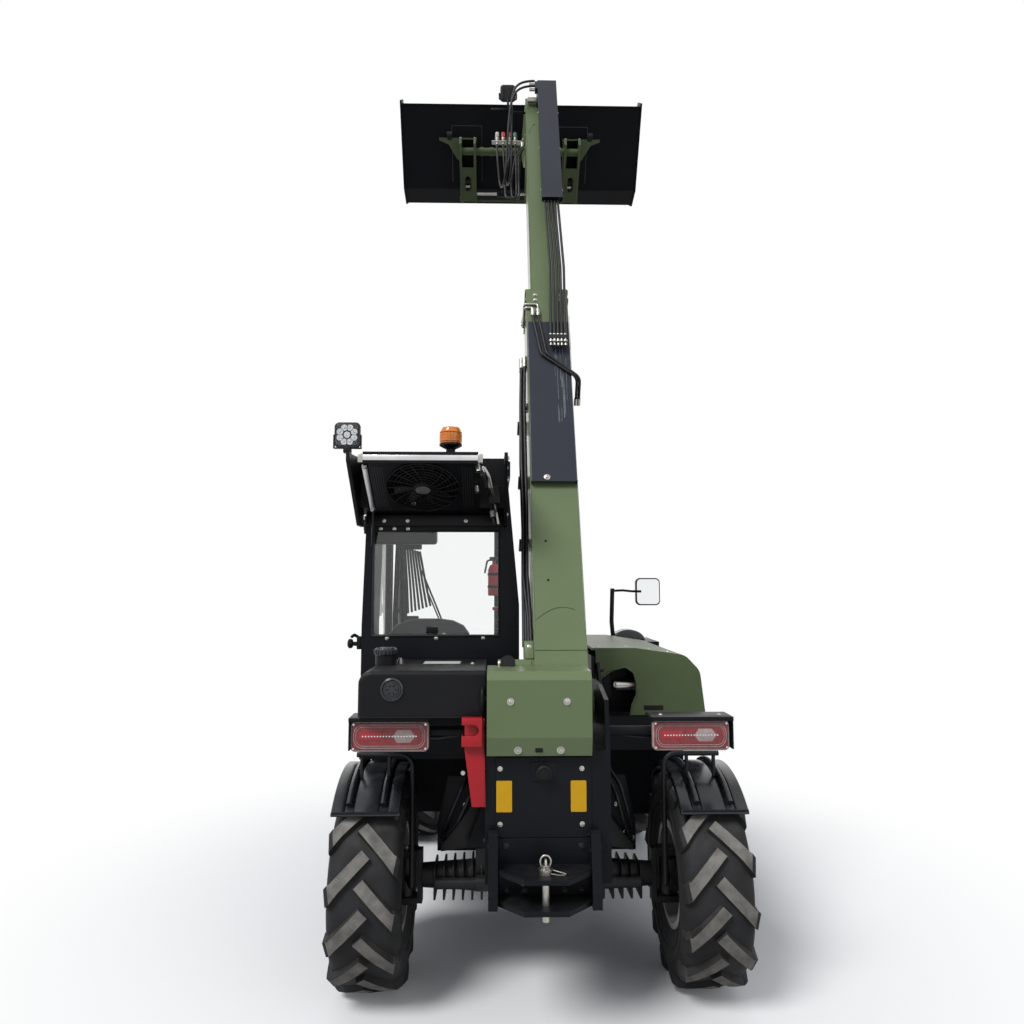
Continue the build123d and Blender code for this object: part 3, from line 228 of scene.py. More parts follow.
def bump_nodes(tree, shader, height, strength, distance, edge=0.0):
    """A bump, over edges softened by the given radius."""
    bump = tree.nodes.new("ShaderNodeBump")
    bump.inputs["Strength"].default_value = strength
    bump.inputs["Distance"].default_value = distance
    tree.links.new(height, bump.inputs["Height"])
    if edge > 0:
        soft = tree.nodes.new("ShaderNodeBevel")
        soft.samples = 4
        soft.inputs["Radius"].default_value = edge
        tree.links.new(soft.outputs["Normal"], bump.inputs["Normal"])
    tree.links.new(bump.outputs["Normal"], shader.inputs["Normal"])


def shade(colour, factor):
    """The colour made darker or lighter."""
    return tuple(min(1.0, c * factor) for c in colour)


def surface(name, colour, rough, metal=0.0, vary=0.12, cloud=3.0, grain=400.0, bump=0.1, depth=0.0004,
            coat=0.0, edge=0.0, rough_vary=0.08, dust=0.0, sheen=0.5):
    """A finish with cloudy colour, uneven gloss, a fine grain, and dust on what faces up."""
    material, tree, shader = new_material(name)
    clouds = noise_node(tree, cloud, 6.0)
    tone = ramp_node(tree, clouds, [(0.3, shade(colour, 1 - vary)), (0.7, shade(colour, 1 + vary))])
    if dust > 0:
        facing = tree.nodes.new("ShaderNodeNewGeometry")
        split = tree.nodes.new("ShaderNodeSeparateXYZ")
        tree.links.new(facing.outputs["Normal"], split.inputs[0])
        upward = ramp_node(tree, split.outputs["Z"], [(0.45, (0, 0, 0)), (1.0, (1, 1, 1))])
        patches = ramp_node(tree, noise_node(tree, 14.0, 8.0), [(0.35, (0, 0, 0)), (0.75, (1, 1, 1))])
        both = tree.nodes.new("ShaderNodeMixRGB")
        both.blend_type = "MULTIPLY"
        both.inputs["Fac"].default_value = 1.0
        tree.links.new(upward, both.inputs["Color1"])
        tree.links.new(patches, both.inputs["Color2"])
        amount = tree.nodes.new("ShaderNodeMath")
        amount.operation = "MULTIPLY"
        amount.inputs[1].default_value = dust
        tree.links.new(both.outputs["Color"], amount.inputs[0])
        dusty = tree.nodes.new("ShaderNodeMixRGB")
        dusty.inputs["Color2"].default_value = (0.34, 0.31, 0.27, 1)
        tree.links.new(amount.outputs[0], dusty.inputs["Fac"])
        tree.links.new(tone, dusty.inputs["Color1"])
        tone = dusty.outputs["Color"]
    tree.links.new(tone, shader.inputs["Base Color"])
    tree.links.new(range_node(tree, noise_node(tree, cloud * 6, 5.0), rough - rough_vary, rough + rough_vary),
                   shader.inputs["Roughness"])
    shader.inputs["Metallic"].default_value = metal
    shader.inputs["Specular IOR Level"].default_value = sheen
    shader.inputs["Coat Weight"].default_value = coat
    shader.inputs["Coat Roughness"].default_value = 0.08
    bump_nodes(tree, shader, noise_node(tree, grain, 2.0), bump, depth, edge)
    return material


def make_glass(name, colour, rough=0.0):
    """Clear or tinted glazing, thin enough to see through without bending the view."""
    material, tree, shader = new_material(name)
    shader.inputs["Base Color"].default_value = (*colour, 1)
    shader.inputs["Roughness"].default_value = rough
    shader.inputs["Transmission Weight"].default_value = 1.0
    shader.inputs["IOR"].default_value = 1.45
    smudge = noise_node(tree, 9.0, 6.0)
    tree.links.new(range_node(tree, smudge, 0.0, 0.008), shader.inputs["Roughness"])
    return material


GREEN = (0.128, 0.176, 0.080)
BLACK = (0.0058, 0.0066, 0.0090)
MATERIALS = {}


def make_materials():
    """Every finish of the machine, by name."""
    table = {
        "green_paint": surface("green_paint", GREEN, 0.40, vary=0.06, cloud=2.0, grain=260, bump=0.06,
                               coat=0.12,
                               edge=0.004, dust=0.10, sheen=0.35),
        # the same green paint darkened to stand for painted shade on the hood and the carriage
        "green_painted_shade": surface("green_painted_shade", shade(GREEN, 0.56), 0.45, vary=0.10, cloud=5.0, grain=260,
                                bump=0.08,
                                edge=0.004, dust=0.10, sheen=0.25),
        "black_paint": surface("black_paint", BLACK, 0.42, vary=0.25, cloud=3.0, grain=300, bump=0.08,
                               edge=0.003,
                               dust=0.04, sheen=0.12),
        "bucket_black": surface("bucket_black", shade(BLACK, 0.7), 0.5, vary=0.3, cloud=4.0, grain=300,
                                bump=0.1,
                                edge=0.003, dust=0.03, sheen=0.08),
        "axle_paint": surface("axle_paint", (0.010, 0.010, 0.012), 0.46, vary=0.3, cloud=5.0, grain=120,
                              bump=0.35,
                              depth=0.001, edge=0.004, dust=0.15, sheen=0.25),
        "black_plastic": surface("black_plastic", (0.0062, 0.0064, 0.0080), 0.45, vary=0.15, cloud=4.0,
                                 grain=900,
                                 bump=0.25, edge=0.003, dust=0.06, sheen=0.16),
        "gloss_plastic": surface("gloss_plastic", (0.012, 0.0135, 0.018), 0.26, vary=0.1, cloud=4.0,
                                 grain=200,
                                 bump=0.03, edge=0.002, dust=0.06, sheen=0.5),
        "rubber": surface("rubber", (0.024, 0.024, 0.025), 0.72, vary=0.35, cloud=7.0, grain=350, bump=0.4,
                          depth=0.0008, dust=0.18, sheen=0.2),
        # lug tops: rubber lightened partly for wear and partly as a painted highlight where light falls on
        # them
        "rubber_wear_and_highlight": surface("rubber_wear_and_highlight", (0.190, 0.180, 0.165), 0.85, vary=0.35, cloud=18.0, grain=500,
                               bump=0.6,
                               depth=0.0012, sheen=0.2),
        "hose_rubber": surface("hose_rubber", (0.007, 0.007, 0.009), 0.42, vary=0.2, cloud=20.0, grain=700,
                               bump=0.2,
                               sheen=0.3),
        "rim_paint": surface("rim_paint", (0.40, 0.40, 0.38), 0.4, vary=0.08, cloud=4.0, grain=300, bump=0.1,
                             edge=0.003, dust=0.2),
        "zinc": surface("zinc", (0.40, 0.39, 0.36), 0.36, metal=1.0, vary=0.15, cloud=40.0, grain=500,
                        bump=0.1),
        "chrome": surface("chrome", (0.70, 0.70, 0.70), 0.12, metal=1.0, vary=0.03, cloud=8.0, grain=300,
                          bump=0.02,
                          rough_vary=0.04),
        "aluminium": surface("aluminium", (0.60, 0.60, 0.61), 0.34, metal=1.0, vary=0.08, cloud=14.0,
                             grain=600,
                             bump=0.1),
        "cast_iron": surface("cast_iron", (0.05, 0.05, 0.05), 0.6, metal=0.3, vary=0.3, cloud=10.0, grain=200,
                             bump=0.5, depth=0.001, edge=0.004),
        "red_paint": surface("red_paint", (0.44, 0.012, 0.020), 0.42, vary=0.1, cloud=4.0, grain=260,
                             bump=0.06,
                             coat=0.1, edge=0.003, sheen=0.3),
        "white_label": surface("white_label", (0.62, 0.62, 0.60), 0.45, vary=0.04, cloud=20.0, grain=400,
                               bump=0.02),
        "yellow_label": surface("yellow_label", (0.66, 0.36, 0.008), 0.45, vary=0.05, cloud=20.0, grain=400,
                                bump=0.02,
                                sheen=0.3),
        "vinyl": surface("vinyl", (0.013, 0.014, 0.016), 0.5, vary=0.15, cloud=10.0, grain=700, bump=0.35,
                         sheen=0.3),
        "exhaust_steel": surface("exhaust_steel", (0.45, 0.44, 0.42), 0.3, metal=1.0, vary=0.15, cloud=30.0,
                                 grain=400, bump=0.1),
        "mirror_glass": surface("mirror_glass", (0.85, 0.87, 0.88), 0.04, metal=1.0, vary=0.01, grain=100,
                                bump=0.0,
                                rough_vary=0.02),
        "grille_dark": surface("grille_dark", (0.004, 0.004, 0.005), 0.5, vary=0.2, cloud=12.0, grain=500,
                               bump=0.2,
                               sheen=0.2),
        "fin_metal": surface("fin_metal", (0.030, 0.030, 0.032), 0.45, metal=0.3, vary=0.3, cloud=25.0,
                             grain=600,
                             bump=0.3, sheen=0.3),
        "red_lens": surface("red_lens", (0.26, 0.030, 0.038), 0.2, vary=0.2, cloud=40.0, grain=300, bump=0.1,
                            coat=0.3, sheen=0.3),
        "pale_lens": surface("pale_lens", (0.40, 0.31, 0.29), 0.2, vary=0.15, cloud=60.0, grain=300, bump=0.1,
                             coat=0.3, sheen=0.3),
        "bright_red_lens": surface("bright_red_lens", (0.42, 0.02, 0.03), 0.18, vary=0.1, cloud=60.0,
                                   grain=300,
                                   bump=0.05, coat=0.3, sheen=0.3),
        "lamp_reflector": surface("lamp_reflector", (0.62, 0.64, 0.65), 0.14, metal=0.9, vary=0.05,
                                  cloud=50.0,
                                  grain=300, bump=0.05),
        "amber_lens": surface("amber_lens", (0.78, 0.22, 0.012), 0.2, vary=0.15, cloud=20.0, grain=200,
                              bump=0.05,
                              coat=0.3),
        "green_fitting": surface("green_fitting", (0.02, 0.13, 0.09), 0.4, vary=0.2, cloud=30.0, grain=400,
                                 bump=0.1),
        "green_dark": surface("green_dark", (0.016, 0.028, 0.026), 0.5, vary=0.2, cloud=12.0, grain=400,
                              bump=0.1,
                              sheen=0.2),
        "cover_skin": surface("cover_skin", (0.019, 0.023, 0.034), 0.46, vary=0.12, cloud=3.0, grain=600,
                              bump=0.12,
                              edge=0.003, dust=0.08, sheen=0.25),
        "scuff": surface("scuff", (0.16, 0.17, 0.19), 0.6, vary=0.3, cloud=40.0, grain=700, bump=0.1),
        "bucket_line": surface("bucket_line", (0.028, 0.033, 0.040), 0.5, vary=0.3, cloud=30.0, grain=700,
                               bump=0.1),
        "worn_edge": surface("worn_edge", (0.16, 0.16, 0.17), 0.42, metal=0.8, vary=0.3, cloud=15.0,
                             grain=300,
                             bump=0.3),
        "window_glass": make_glass("window_glass", (0.975, 0.990, 0.985)),
        "clear_lens": make_glass("clear_lens", (0.95, 0.96, 0.97)),
    }
    MATERIALS.update(table)


NODE_FINISH = {
    "green_paint": ("rear_cover", "boom_outer", "boom_inner"),
    # the hood and the carriage get the green darkened as painted shade
    "green_painted_shade": ("carriage", "engine_hood"),
    "bucket_black": ("bucket",),
    "black_paint": ("chassis_frame", "rear_panel", "drawbar", "cab_tub", "cab_frame", "cab_door",
                    "engine_bay",
                    "lamp_bar", "lift_cylinder", "tilt_cylinder"),
    "cover_skin": ("boom_cover", "hose_guard"),
    "black_plastic": ("fluid_tank", "cab_roof", "condenser_unit", "dashboard", "work_lamp", "boom_lamp",
                      "mirror",
                      "steering_column"),
    "vinyl": ("seat",),
    "zinc": ("hitch_pin", "boom_pipes", "hose_couplers"),
    "exhaust_steel": ("exhaust_pipe",),
    "hose_rubber": ("boom_hoses", "head_hose_outer", "head_hose_inner"),
    "red_paint": ("safety_strut",),
    "red_lens": ("tail_lamps",),
    "amber_lens": ("beacon",),
    "window_glass": ("cab_glass", "door_glass"),
    "cast_iron": ("engine_block",),
    "chrome": ("lift_rod", "tilt_rod"),
}
WHEEL_FINISH = {"knuckle": "axle_paint", "fender": "black_plastic", "tyre": "rubber", "rim": "rim_paint"}
ENDS = ("front", "rear")
HANDS = (("left", -1), ("right", 1))


def finish_nodes():
    """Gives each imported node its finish."""
    chosen = {node: finish for finish, nodes in NODE_FINISH.items() for node in nodes}
    for end in ENDS:
        chosen[f"{end}_axle"] = "axle_paint"
        for hand, _ in HANDS:
            for kind, finish in WHEEL_FINISH.items():
                chosen[f"{end}_{hand}_{kind}"] = finish
    for node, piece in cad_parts.items():
        piece.data.materials.clear()
        piece.data.materials.append(MATERIALS[chosen[node]])


# ---------------------------------------------------------------- making shapes


def turned(x_dir, z_dir, origin=(0, 0, 0)):
    """A placing whose own x and z run along the two directions."""
    z = Vector(z_dir).normalized()
    x = (Vector(x_dir) - Vector(x_dir).project(z)).normalized()
    y = z.cross(x)
    place = Matrix((x, y, z)).transposed().to_4x4()
    place.translation = Vector(origin)
    return place


def facing(direction, origin):
    """A placing whose own z runs along the direction, with its own x as level as it can be."""
    z = Vector(direction).normalized()
    x = Z_AXIS.cross(z)
    if x.length < 1e-4:
        x = X_AXIS
    return turned(x, z, origin)


class Shape:
    """A mesh under construction, with one or more finishes."""

    def __init__(self, name, *finishes):
        self.name = name
        self.finishes = finishes
        self.mesh = bmesh.new()

    def take(self, part, place, finish, bevel=0.0, segments=2, angle=30.0):
        """Adds a part at a placing, with its sharp edges rounded."""
        if bevel > 0:
            edges = [e for e in part.edges if e.is_manifold and e.calc_face_angle(0) > math.radians(angle)]
            bmesh.ops.bevel(part, geom=edges, offset=bevel, segments=segments, profile=0.5, affect="EDGES",
                            clamp_overlap=True)
        bmesh.ops.transform(part, matrix=place, verts=part.verts)
        if place.determinant() < 0:
            bmesh.ops.reverse_faces(part, faces=part.faces)
        index = self.finishes.index(finish)
        for face in part.faces:
            face.material_index = index
        data = bpy.data.meshes.new("part")
        part.to_mesh(data)
        part.free()
        self.mesh.from_mesh(data)
        bpy.data.meshes.remove(data)

    def box(self, low, high, finish=None, bevel=0.002, place=Matrix.Identity(4), segments=2):
        """A box between two corners of the placing."""
        part = bmesh.new()
        bmesh.ops.create_cube(part, size=1.0)
        size = [high[i] - low[i] for i in range(3)]
        middle = [(high[i] + low[i]) / 2 for i in range(3)]
        bmesh.ops.scale(part, vec=size, verts=part.verts)
        bmesh.ops.translate(part, vec=middle, verts=part.verts)
        self.take(part, place, finish or self.finishes[0], bevel, segments)

    def prism(self, outline, low, high, finish=None, bevel=0.0, place=Matrix.Identity(4), segments=2,
              angle=30.0):
        """An outline in the placing's own x and y, drawn out between two heights."""
        part = bmesh.new()
        base = [part.verts.new((x, y, low)) for x, y in outline]
        top = [part.verts.new((x, y, high)) for x, y in outline]
        part.faces.new(list(reversed(base)))
        part.faces.new(top)
        count = len(outline)
        for i in range(count):
            j = (i + 1) % count
            part.faces.new((base[i], base[j], top[j], top[i]))
        bmesh.ops.recalc_face_normals(part, faces=part.faces)
        self.take(part, place, finish or self.finishes[0], bevel, segments, angle)

    def lathe(self, profile, place, finish=None, sides=32, bevel=0.0, closed=False):
        """A profile of (radius, height) turned round the placing's own z."""
        part = bmesh.new()
        rings = []
        for radius, height in profile:
            if radius < 1e-6:
                rings.append([part.verts.new((0, 0, height))])
                continue
            turns = [2 * math.pi * i / sides for i in range(sides)]
            rings.append([part.verts.new((radius * math.cos(t), radius * math.sin(t),
                                          height)) for t in turns])
        pairs = list(zip(rings, rings[1:]))
        if closed:
            pairs.append((rings[-1], rings[0]))
        for first, second in pairs:
            if len(first) == 1 and len(second) == 1:
                continue
            for i in range(sides):
                j = (i + 1) % sides
                if len(first) == 1:
                    part.faces.new((first[0], second[j], second[i]))
                elif len(second) == 1:
                    part.faces.new((first[i], first[j], second[0]))
                else:
                    part.faces.new((first[i], first[j], second[j], second[i]))
        bmesh.ops.recalc_face_normals(part, faces=part.faces)
        self.take(part, place, finish or self.finishes[0], bevel)

    def rod(self, start, end, radius, finish=None, sides=20, bevel=0.0):
        """A round bar between two places."""
        run = Vector(end) - Vector(start)
        self.lathe([(0, 0), (radius, 0), (radius, run.length), (0, run.length)], facing(run, start),
                   finish, sides, bevel)

    def tube(self, points, radius, finish=None, sides=12, rounds=0.0):
        """A round tube through the points, with its corners rounded."""
        path = round_corners([Vector(p) for p in points],
                             rounds) if rounds > 0 else [Vector(p) for p in points]
        part = bmesh.new()
        rings = []
        normal = None
        for i, spot in enumerate(path):
            before = path[max(i - 1, 0)]
            after = path[min(i + 1, len(path) - 1)]
            along = (after - before).normalized()
            if normal is None:
                normal = along.orthogonal().normalized()
            normal = (normal - normal.project(along)).normalized()
            other = along.cross(normal)
            ring = []
            for k in range(sides):
                turn = 2 * math.pi * k / sides
                out = normal * math.cos(turn) + other * math.sin(turn)
                ring.append(part.verts.new(spot + out * radius))
            rings.append(ring)
        for first, second in zip(rings, rings[1:]):
            for k in range(sides):
                m = (k + 1) % sides
                part.faces.new((first[k], first[m], second[m], second[k]))
        part.faces.new(list(reversed(rings[0])))
        part.faces.new(rings[-1])
        bmesh.ops.recalc_face_normals(part, faces=part.faces)
        self.take(part, Matrix.Identity(4), finish or self.finishes[0])

    def bolt(self, place, size=0.012, finish=None, washer=True):
        """A hex bolt head on the placing's own z, its across-corners radius given by size."""
        finish = finish or self.finishes[0]
        if washer:
            self.lathe([(0, 0), (size * 1.35, 0), (size * 1.35, size * 0.18), (0, size * 0.18)], place,
                       finish, 20)
        head = [(size * math.cos(math.radians(a)), size * math.sin(math.radians(a))) for a in range(0, 360,
                                                                                                    60)]
        self.prism(head, 0.0, size * 0.85, finish, size * 0.1, place)

    def dome_bolt(self, place, size=0.010, finish=None):
        """A round-headed bolt with a flange."""
        finish = finish or self.finishes[0]
        self.lathe([(0, 0), (size * 1.6, 0), (size * 1.6, size * 0.2), (size, size * 0.35),
                    (size * 0.85, size * 0.7),
                    (size * 0.5, size * 0.9), (0, size * 0.95)], place, finish, 24)

    def done(self, body, replaces=(), sharp=35.0, smooth=True):
        """Turns the shape into a piece that rides on a body."""
        if smooth:
            for face in self.mesh.faces:
                face.smooth = True
            for edge in self.mesh.edges:
                if edge.is_manifold and edge.calc_face_angle(0) > math.radians(sharp):
                    edge.smooth = False
        data = bpy.data.meshes.new(self.name)
        self.mesh.to_mesh(data)
        self.mesh.free()
        for finish in self.finishes:
            data.materials.append(MATERIALS[finish])
        piece = bpy.data.objects.new(self.name, data)
        bpy.context.collection.objects.link(piece)
        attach(piece, body)
        if replaces:
            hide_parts(*replaces)
        return piece


def round_corners(points, radius, steps=6):
    """The points of a line with each inner corner replaced by an arc."""
    path = [points[0]]
    for before, corner, after in zip(points, points[1:], points[2:]):
        back = before - corner
        on = after - corner
        turn = math.pi - back.angle(on)
        if turn < 0.02:
            path.append(corner)
            continue
        reach = min(radius * math.tan(turn / 2), back.length * 0.49, on.length * 0.49)
        start = corner + back.normalized() * reach
        end = corner + on.normalized() * reach
        for i in range(steps + 1):
            t = i / steps
            path.append(start * (1 - t) ** 2 + corner * 2 * t * (1 - t) + end * t * t)
    path.append(points[-1])
    return path


def rounded_outline(width, height, radius, steps=6):
    """The outline of a rounded rectangle about its middle."""
    outline = []
    for x, y, start in ((1, 1, 0), (-1, 1, 90), (-1, -1, 180), (1, -1, 270)):
        for i in range(steps + 1):
            turn = math.radians(start + 90 * i / steps)
            outline.append((x * (width / 2 - radius) + radius * math.cos(turn),
                            y * (height / 2 - radius) + radius * math.sin(turn)))
    return outline


# ---------------------------------------------------------------- places on the machine

REAR_AXLE_Y = -1.24
BOOM_ANGLE = math.radians(67)
BUCKET_TILT = math.radians(32)
PIVOT = Vector((0, REAR_AXLE_Y - 0.15, 1.32))
ALONG_BOOM = Vector((0, math.cos(BOOM_ANGLE), math.sin(BOOM_ANGLE)))
OVER_BOOM = Vector((0, -math.sin(BOOM_ANGLE), math.cos(BOOM_ANGLE)))
INTO_BUCKET = Vector((0, math.cos(BUCKET_TILT), math.sin(BUCKET_TILT)))
UP_BUCKET = Vector((0, -math.sin(BUCKET_TILT), math.cos(BUCKET_TILT)))
BOOM_MIDDLE = 0.10


def at(x, y, z):
    """A place given by its distance ahead of the rear axle."""
    return Vector((x, REAR_AXLE_Y + y, z))


def on_boom(x, u, v):
    """A place u along the boom from its pivot and v over the pivot line."""
    return Vector((x, 0, 0)) + PIVOT + ALONG_BOOM * u + OVER_BOOM * v


HITCH = on_boom(0, 4.709, -0.466)


def on_bucket(x, n, s):
    """A place n ahead of the hitch tube and s up the bucket's back."""
    return Vector((x, 0, 0)) + HITCH + INTO_BUCKET * n + UP_BUCKET * s


def rearward(x, y, z):
    """A placing on a face that looks back: own x to the right, own y up."""
    return turned(X_AXIS, -Y_AXIS, at(x, y, z))


def upward(x, y, z):
    """A placing on a face that looks up: own x to the right, own y ahead."""
    return turned(X_AXIS, Z_AXIS, at(x, y, z))


def sideward(side, x, y, z):
    """A placing on a face that looks left, side -1, or right, side 1: own x ahead."""
    return turned(Y_AXIS, X_AXIS * side, at(x, y, z))


# ---------------------------------------------------------------- hoses of the boom head

HEAD_HOSE_R = 0.008
# each hose's route as points in millimetres, y counted from the rear axle, and last the x in metres of its
# coupler on the boom
HEAD_HOSES = {
    "head_hose_outer": (
        (69.7, 1268, 5470), (-30, 1268, 5470), (-100, 1276, 5380), (-118, 1276, 5200), (-130, 1276, 5000),
        (-138, 1276, 4780), (-175, 1458, 4780), (-192, 1459, 4965), -0.200,
    ),
    "head_hose_inner": (
        (69.7, 1291, 5524), (-35, 1291, 5524), (-98, 1300, 5430), (-97, 1292, 5250), (-98, 1284, 5040),
        (-100, 1284, 4800), (-132, 1461, 4800), (-148, 1461, 4983), -0.155,
    ),
}


def make_head_hoses():
    """The two free hoses from the guard's block down to the couplers."""
    for name, places in HEAD_HOSES.items():
        coupler = places[-1]
        route = [at(x / 1000, y / 1000, z / 1000) for x, y, z in places[:-1]]
        route += [on_boom(coupler, 4.090, -0.019), on_boom(coupler, 4.180, -0.019)]
        data = bpy.data.curves.new(f"{name}_line", "CURVE")
        data.dimensions = "3D"
        data.bevel_depth = HEAD_HOSE_R
        data.bevel_resolution = 5
        data.resolution_u = 24
        spline = data.splines.new("NURBS")
        spline.points.add(len(route) - 1)
        for spot, place in zip(spline.points, route):
            spot.co = (*place, 1.0)
        spline.order_u = 3
        spline.use_endpoint_u = True
        data.use_fill_caps = True
        data.materials.append(MATERIALS["hose_rubber"])
        hose = bpy.data.objects.new(f"{name}_line", data)
        bpy.context.collection.objects.link(hose)
        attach(hose, "inner_boom")
        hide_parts(name)


# ---------------------------------------------------------------- wheels

TYRE_RADIUS = 0.49
CROWN_RADIUS = 0.464
BEAD_RADIUS = 0.2305
LUG_COUNT = 13
LUG_SLANT = 1.05
LUG_TOP_HALF = 0.026
LUG_BASE_HALF = 0.033

# the tyre's section as (radius, distance from its middle), from the crown down one side
CARCASS = ((CROWN_RADIUS, 0.0), (0.4635, 0.05), (0.461, 0.09), (0.455, 0.118), (0.444, 0.138), (0.425, 0.152),
           (0.400, 0.160), (0.370, 0.163), (0.342, 0.160), (0.312, 0.151), (0.300, 0.150), (0.297, 0.146),
           (0.275, 0.136), (0.258, 0.130), (0.250, 0.131), (0.246, 0.127), (BEAD_RADIUS, 0.124))
# a lug's middle line as (distance from the tyre's middle, top radius, base radius, base distance)
LUG_LINE = ((-0.012, 0.4895, 0.460, -0.012), (0.040, 0.4895, 0.458, 0.040), (0.085, 0.4880, 0.455, 0.085),
            (0.120, 0.4850, 0.448, 0.114), (0.142, 0.4790, 0.438, 0.130), (0.157, 0.4660, 0.422, 0.143),
            (0.1655, 0.4430, 0.405, 0.150), (0.1660, 0.4150, 0.395, 0.156))


def wheel_point(centre, across, turn, radius):
    """A place on a wheel: distance outward of its middle, turn up from the rear, and radius."""
    return centre + X_AXIS * across + (-Y_AXIS * math.cos(turn) + Z_AXIS * math.sin(turn)) * radius


def make_lug(shape, centre, side, start):
    """One tread bar, from the middle of the tread down over the shoulder."""
    part = bmesh.new()
    top = []
    base = []
    for across, top_radius, base_radius, base_across in LUG_LINE:
        along = max(across, -0.02) * LUG_SLANT / TYRE_RADIUS
        slope = math.hypot(1.0, LUG_SLANT)
        rows = ((top, LUG_TOP_HALF, top_radius, across), (base, LUG_BASE_HALF, base_radius, base_across))
        for row, half, radius, out in rows:
            pair = []
            for edge in (-1, 1):
                shift_across = -edge * half * LUG_SLANT / slope * (1.0 if across < 0.13 else 0.35)
                shift_round = edge * half * (slope if across >= 0.13 else 1.0 / slope) / TYRE_RADIUS
                outward = min(out + shift_across, 0.1665)
                pair.append(part.verts.new(wheel_point(centre, side * outward, start - along - shift_round,
                                                       radius)))
            row.append(pair)
    worn = []
    for i in range(len(LUG_LINE) - 1):
        top_face = part.faces.new((top[i][0], top[i][1], top[i + 1][1], top[i + 1][0]))
        # the tops of the four segments nearest the crown get the lighter rubber: partly wear, partly painted
        # highlight
        if i < 4:
            worn.append(top_face)
        part.faces.new((base[i][0], top[i][0], top[i + 1][0], base[i + 1][0]))
        part.faces.new((top[i][1], base[i][1], base[i + 1][1], top[i + 1][1]))
        part.faces.new((base[i][1], base[i][0], base[i + 1][0], base[i + 1][1]))
    part.faces.new((base[0][0], base[0][1], top[0][1], top[0][0]))
    part.faces.new((top[-1][0], top[-1][1], base[-1][1], base[-1][0]))
    bmesh.ops.recalc_face_normals(part, faces=part.faces)
    index = shape.finishes.index("rubber_wear_and_highlight")
    for face in worn:
        face.material_index = index
    data = bpy.data.meshes.new("lug")
    part.to_mesh(data)
    part.free()
    shape.mesh.from_mesh(data)
    bpy.data.meshes.remove(data)


def make_tyre(end, hand):
    """A traction tyre: carcass and two rows of staggered slanting bars."""
    key = f"{end}_{hand}"
    low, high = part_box(f"{key}_tyre")
    centre = (low + high) / 2
    shape = Shape(f"{key}_tyre_tread", "rubber", "rubber_wear_and_highlight")
    section = [(radius, across) for radius, across in CARCASS]
    outer = [(r, -a) for r, a in reversed(section)] + section[1:]
    inner = [(BEAD_RADIUS, 0.100), (0.34, 0.140), (0.42, 0.125), (0.440, 0.0), (0.42, -0.125), (0.34, -0.140),
             (BEAD_RADIUS, -0.100)]
    shape.lathe(outer + inner, turned(Z_AXIS, X_AXIS, centre), "rubber", 96, closed=True)
    step = 2 * math.pi / LUG_COUNT
    for row in (-1, 1):
        for i in range(LUG_COUNT):
            make_lug(shape, centre, row, step * (i + (0.5 if row > 0 else 0.0)))
    for piece_side in (-1, 1):
        for radius, across in ((0.380, 0.1615), (0.330, 0.1575)):
            ring = [(radius - 0.003, across - 0.002), (radius - 0.0015, across + 0.0035),
                    (radius + 0.0015, across + 0.0035),
                    (radius + 0.003, across - 0.002)]
            shape.lathe(ring, turned(Z_AXIS, X_AXIS * piece_side, centre), "rubber", 96, closed=True)
    shape.done(f"{key}_wheel", [f"{key}_tyre"], sharp=28)


WHEEL_BOLTS = 8
WHEEL_BOLT_CIRCLE = 0.1375


def make_wheel_details(end, hand, side):
    """Wheel nuts, hub cap and valve on the rim's outer face."""
    key = f"{end}_{hand}"
    low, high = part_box(f"{key}_rim")
    centre = (low + high) / 2
    shape = Shape(f"{key}_wheel_nuts", "zinc", "axle_paint", "hose_rubber")
    face = 0.072
    for i in range(WHEEL_BOLTS):
        turn = 2 * math.pi * i / WHEEL_BOLTS
        spot = wheel_point(centre, side * (face + 0.0003), turn, WHEEL_BOLT_CIRCLE)
        shape.bolt(turned(Z_AXIS, X_AXIS * side, spot), 0.016, "zinc")
        shape.rod(spot, spot + X_AXIS * side * 0.026, 0.008, "zinc", 14)
    cap = centre + X_AXIS * side * 0.1053
    shape.lathe([(0, 0), (0.070, 0), (0.070, 0.010), (0.060, 0.016), (0.050, 0.018), (0, 0.018)],
                turned(Z_AXIS, X_AXIS * side, cap), "axle_paint", 36)
    for i in range(6):
        turn = 2 * math.pi * i / 6
        shape.bolt(turned(Z_AXIS, X_AXIS * side, wheel_point(cap, side * 0.0165, turn, 0.058)), 0.006, "zinc",
                   False)
    valve = wheel_point(centre, side * 0.0725, 0.4, 0.196)
    shape.rod(valve, valve + X_AXIS * side * 0.032, 0.005, "hose_rubber", 12)
    shape.rod(valve + X_AXIS * side * 0.030, valve + X_AXIS * side * 0.042, 0.0065, "hose_rubber", 12)
    shape.done(f"{key}_wheel")


FENDER_REACH = 42.0
FENDER_THICK = 0.004
# the mudguard's section as (distance from the tyre's middle, radius): three lands with two valleys
FENDER_SECTION = ((-0.1500, 0.503), (-0.1500, 0.526), (-0.1460, 0.530), (-0.1080, 0.530), (-0.0980, 0.527),
                  (-0.0900, 0.519), (-0.0560, 0.519), (-0.0480, 0.527), (-0.0380, 0.530), (0.0460, 0.530),
                  (0.0560, 0.527), (0.0640, 0.519), (0.0980, 0.519), (0.1060, 0.527), (0.1160, 0.530),
                  (0.1550, 0.530), (0.1590, 0.526), (0.1590, 0.503))


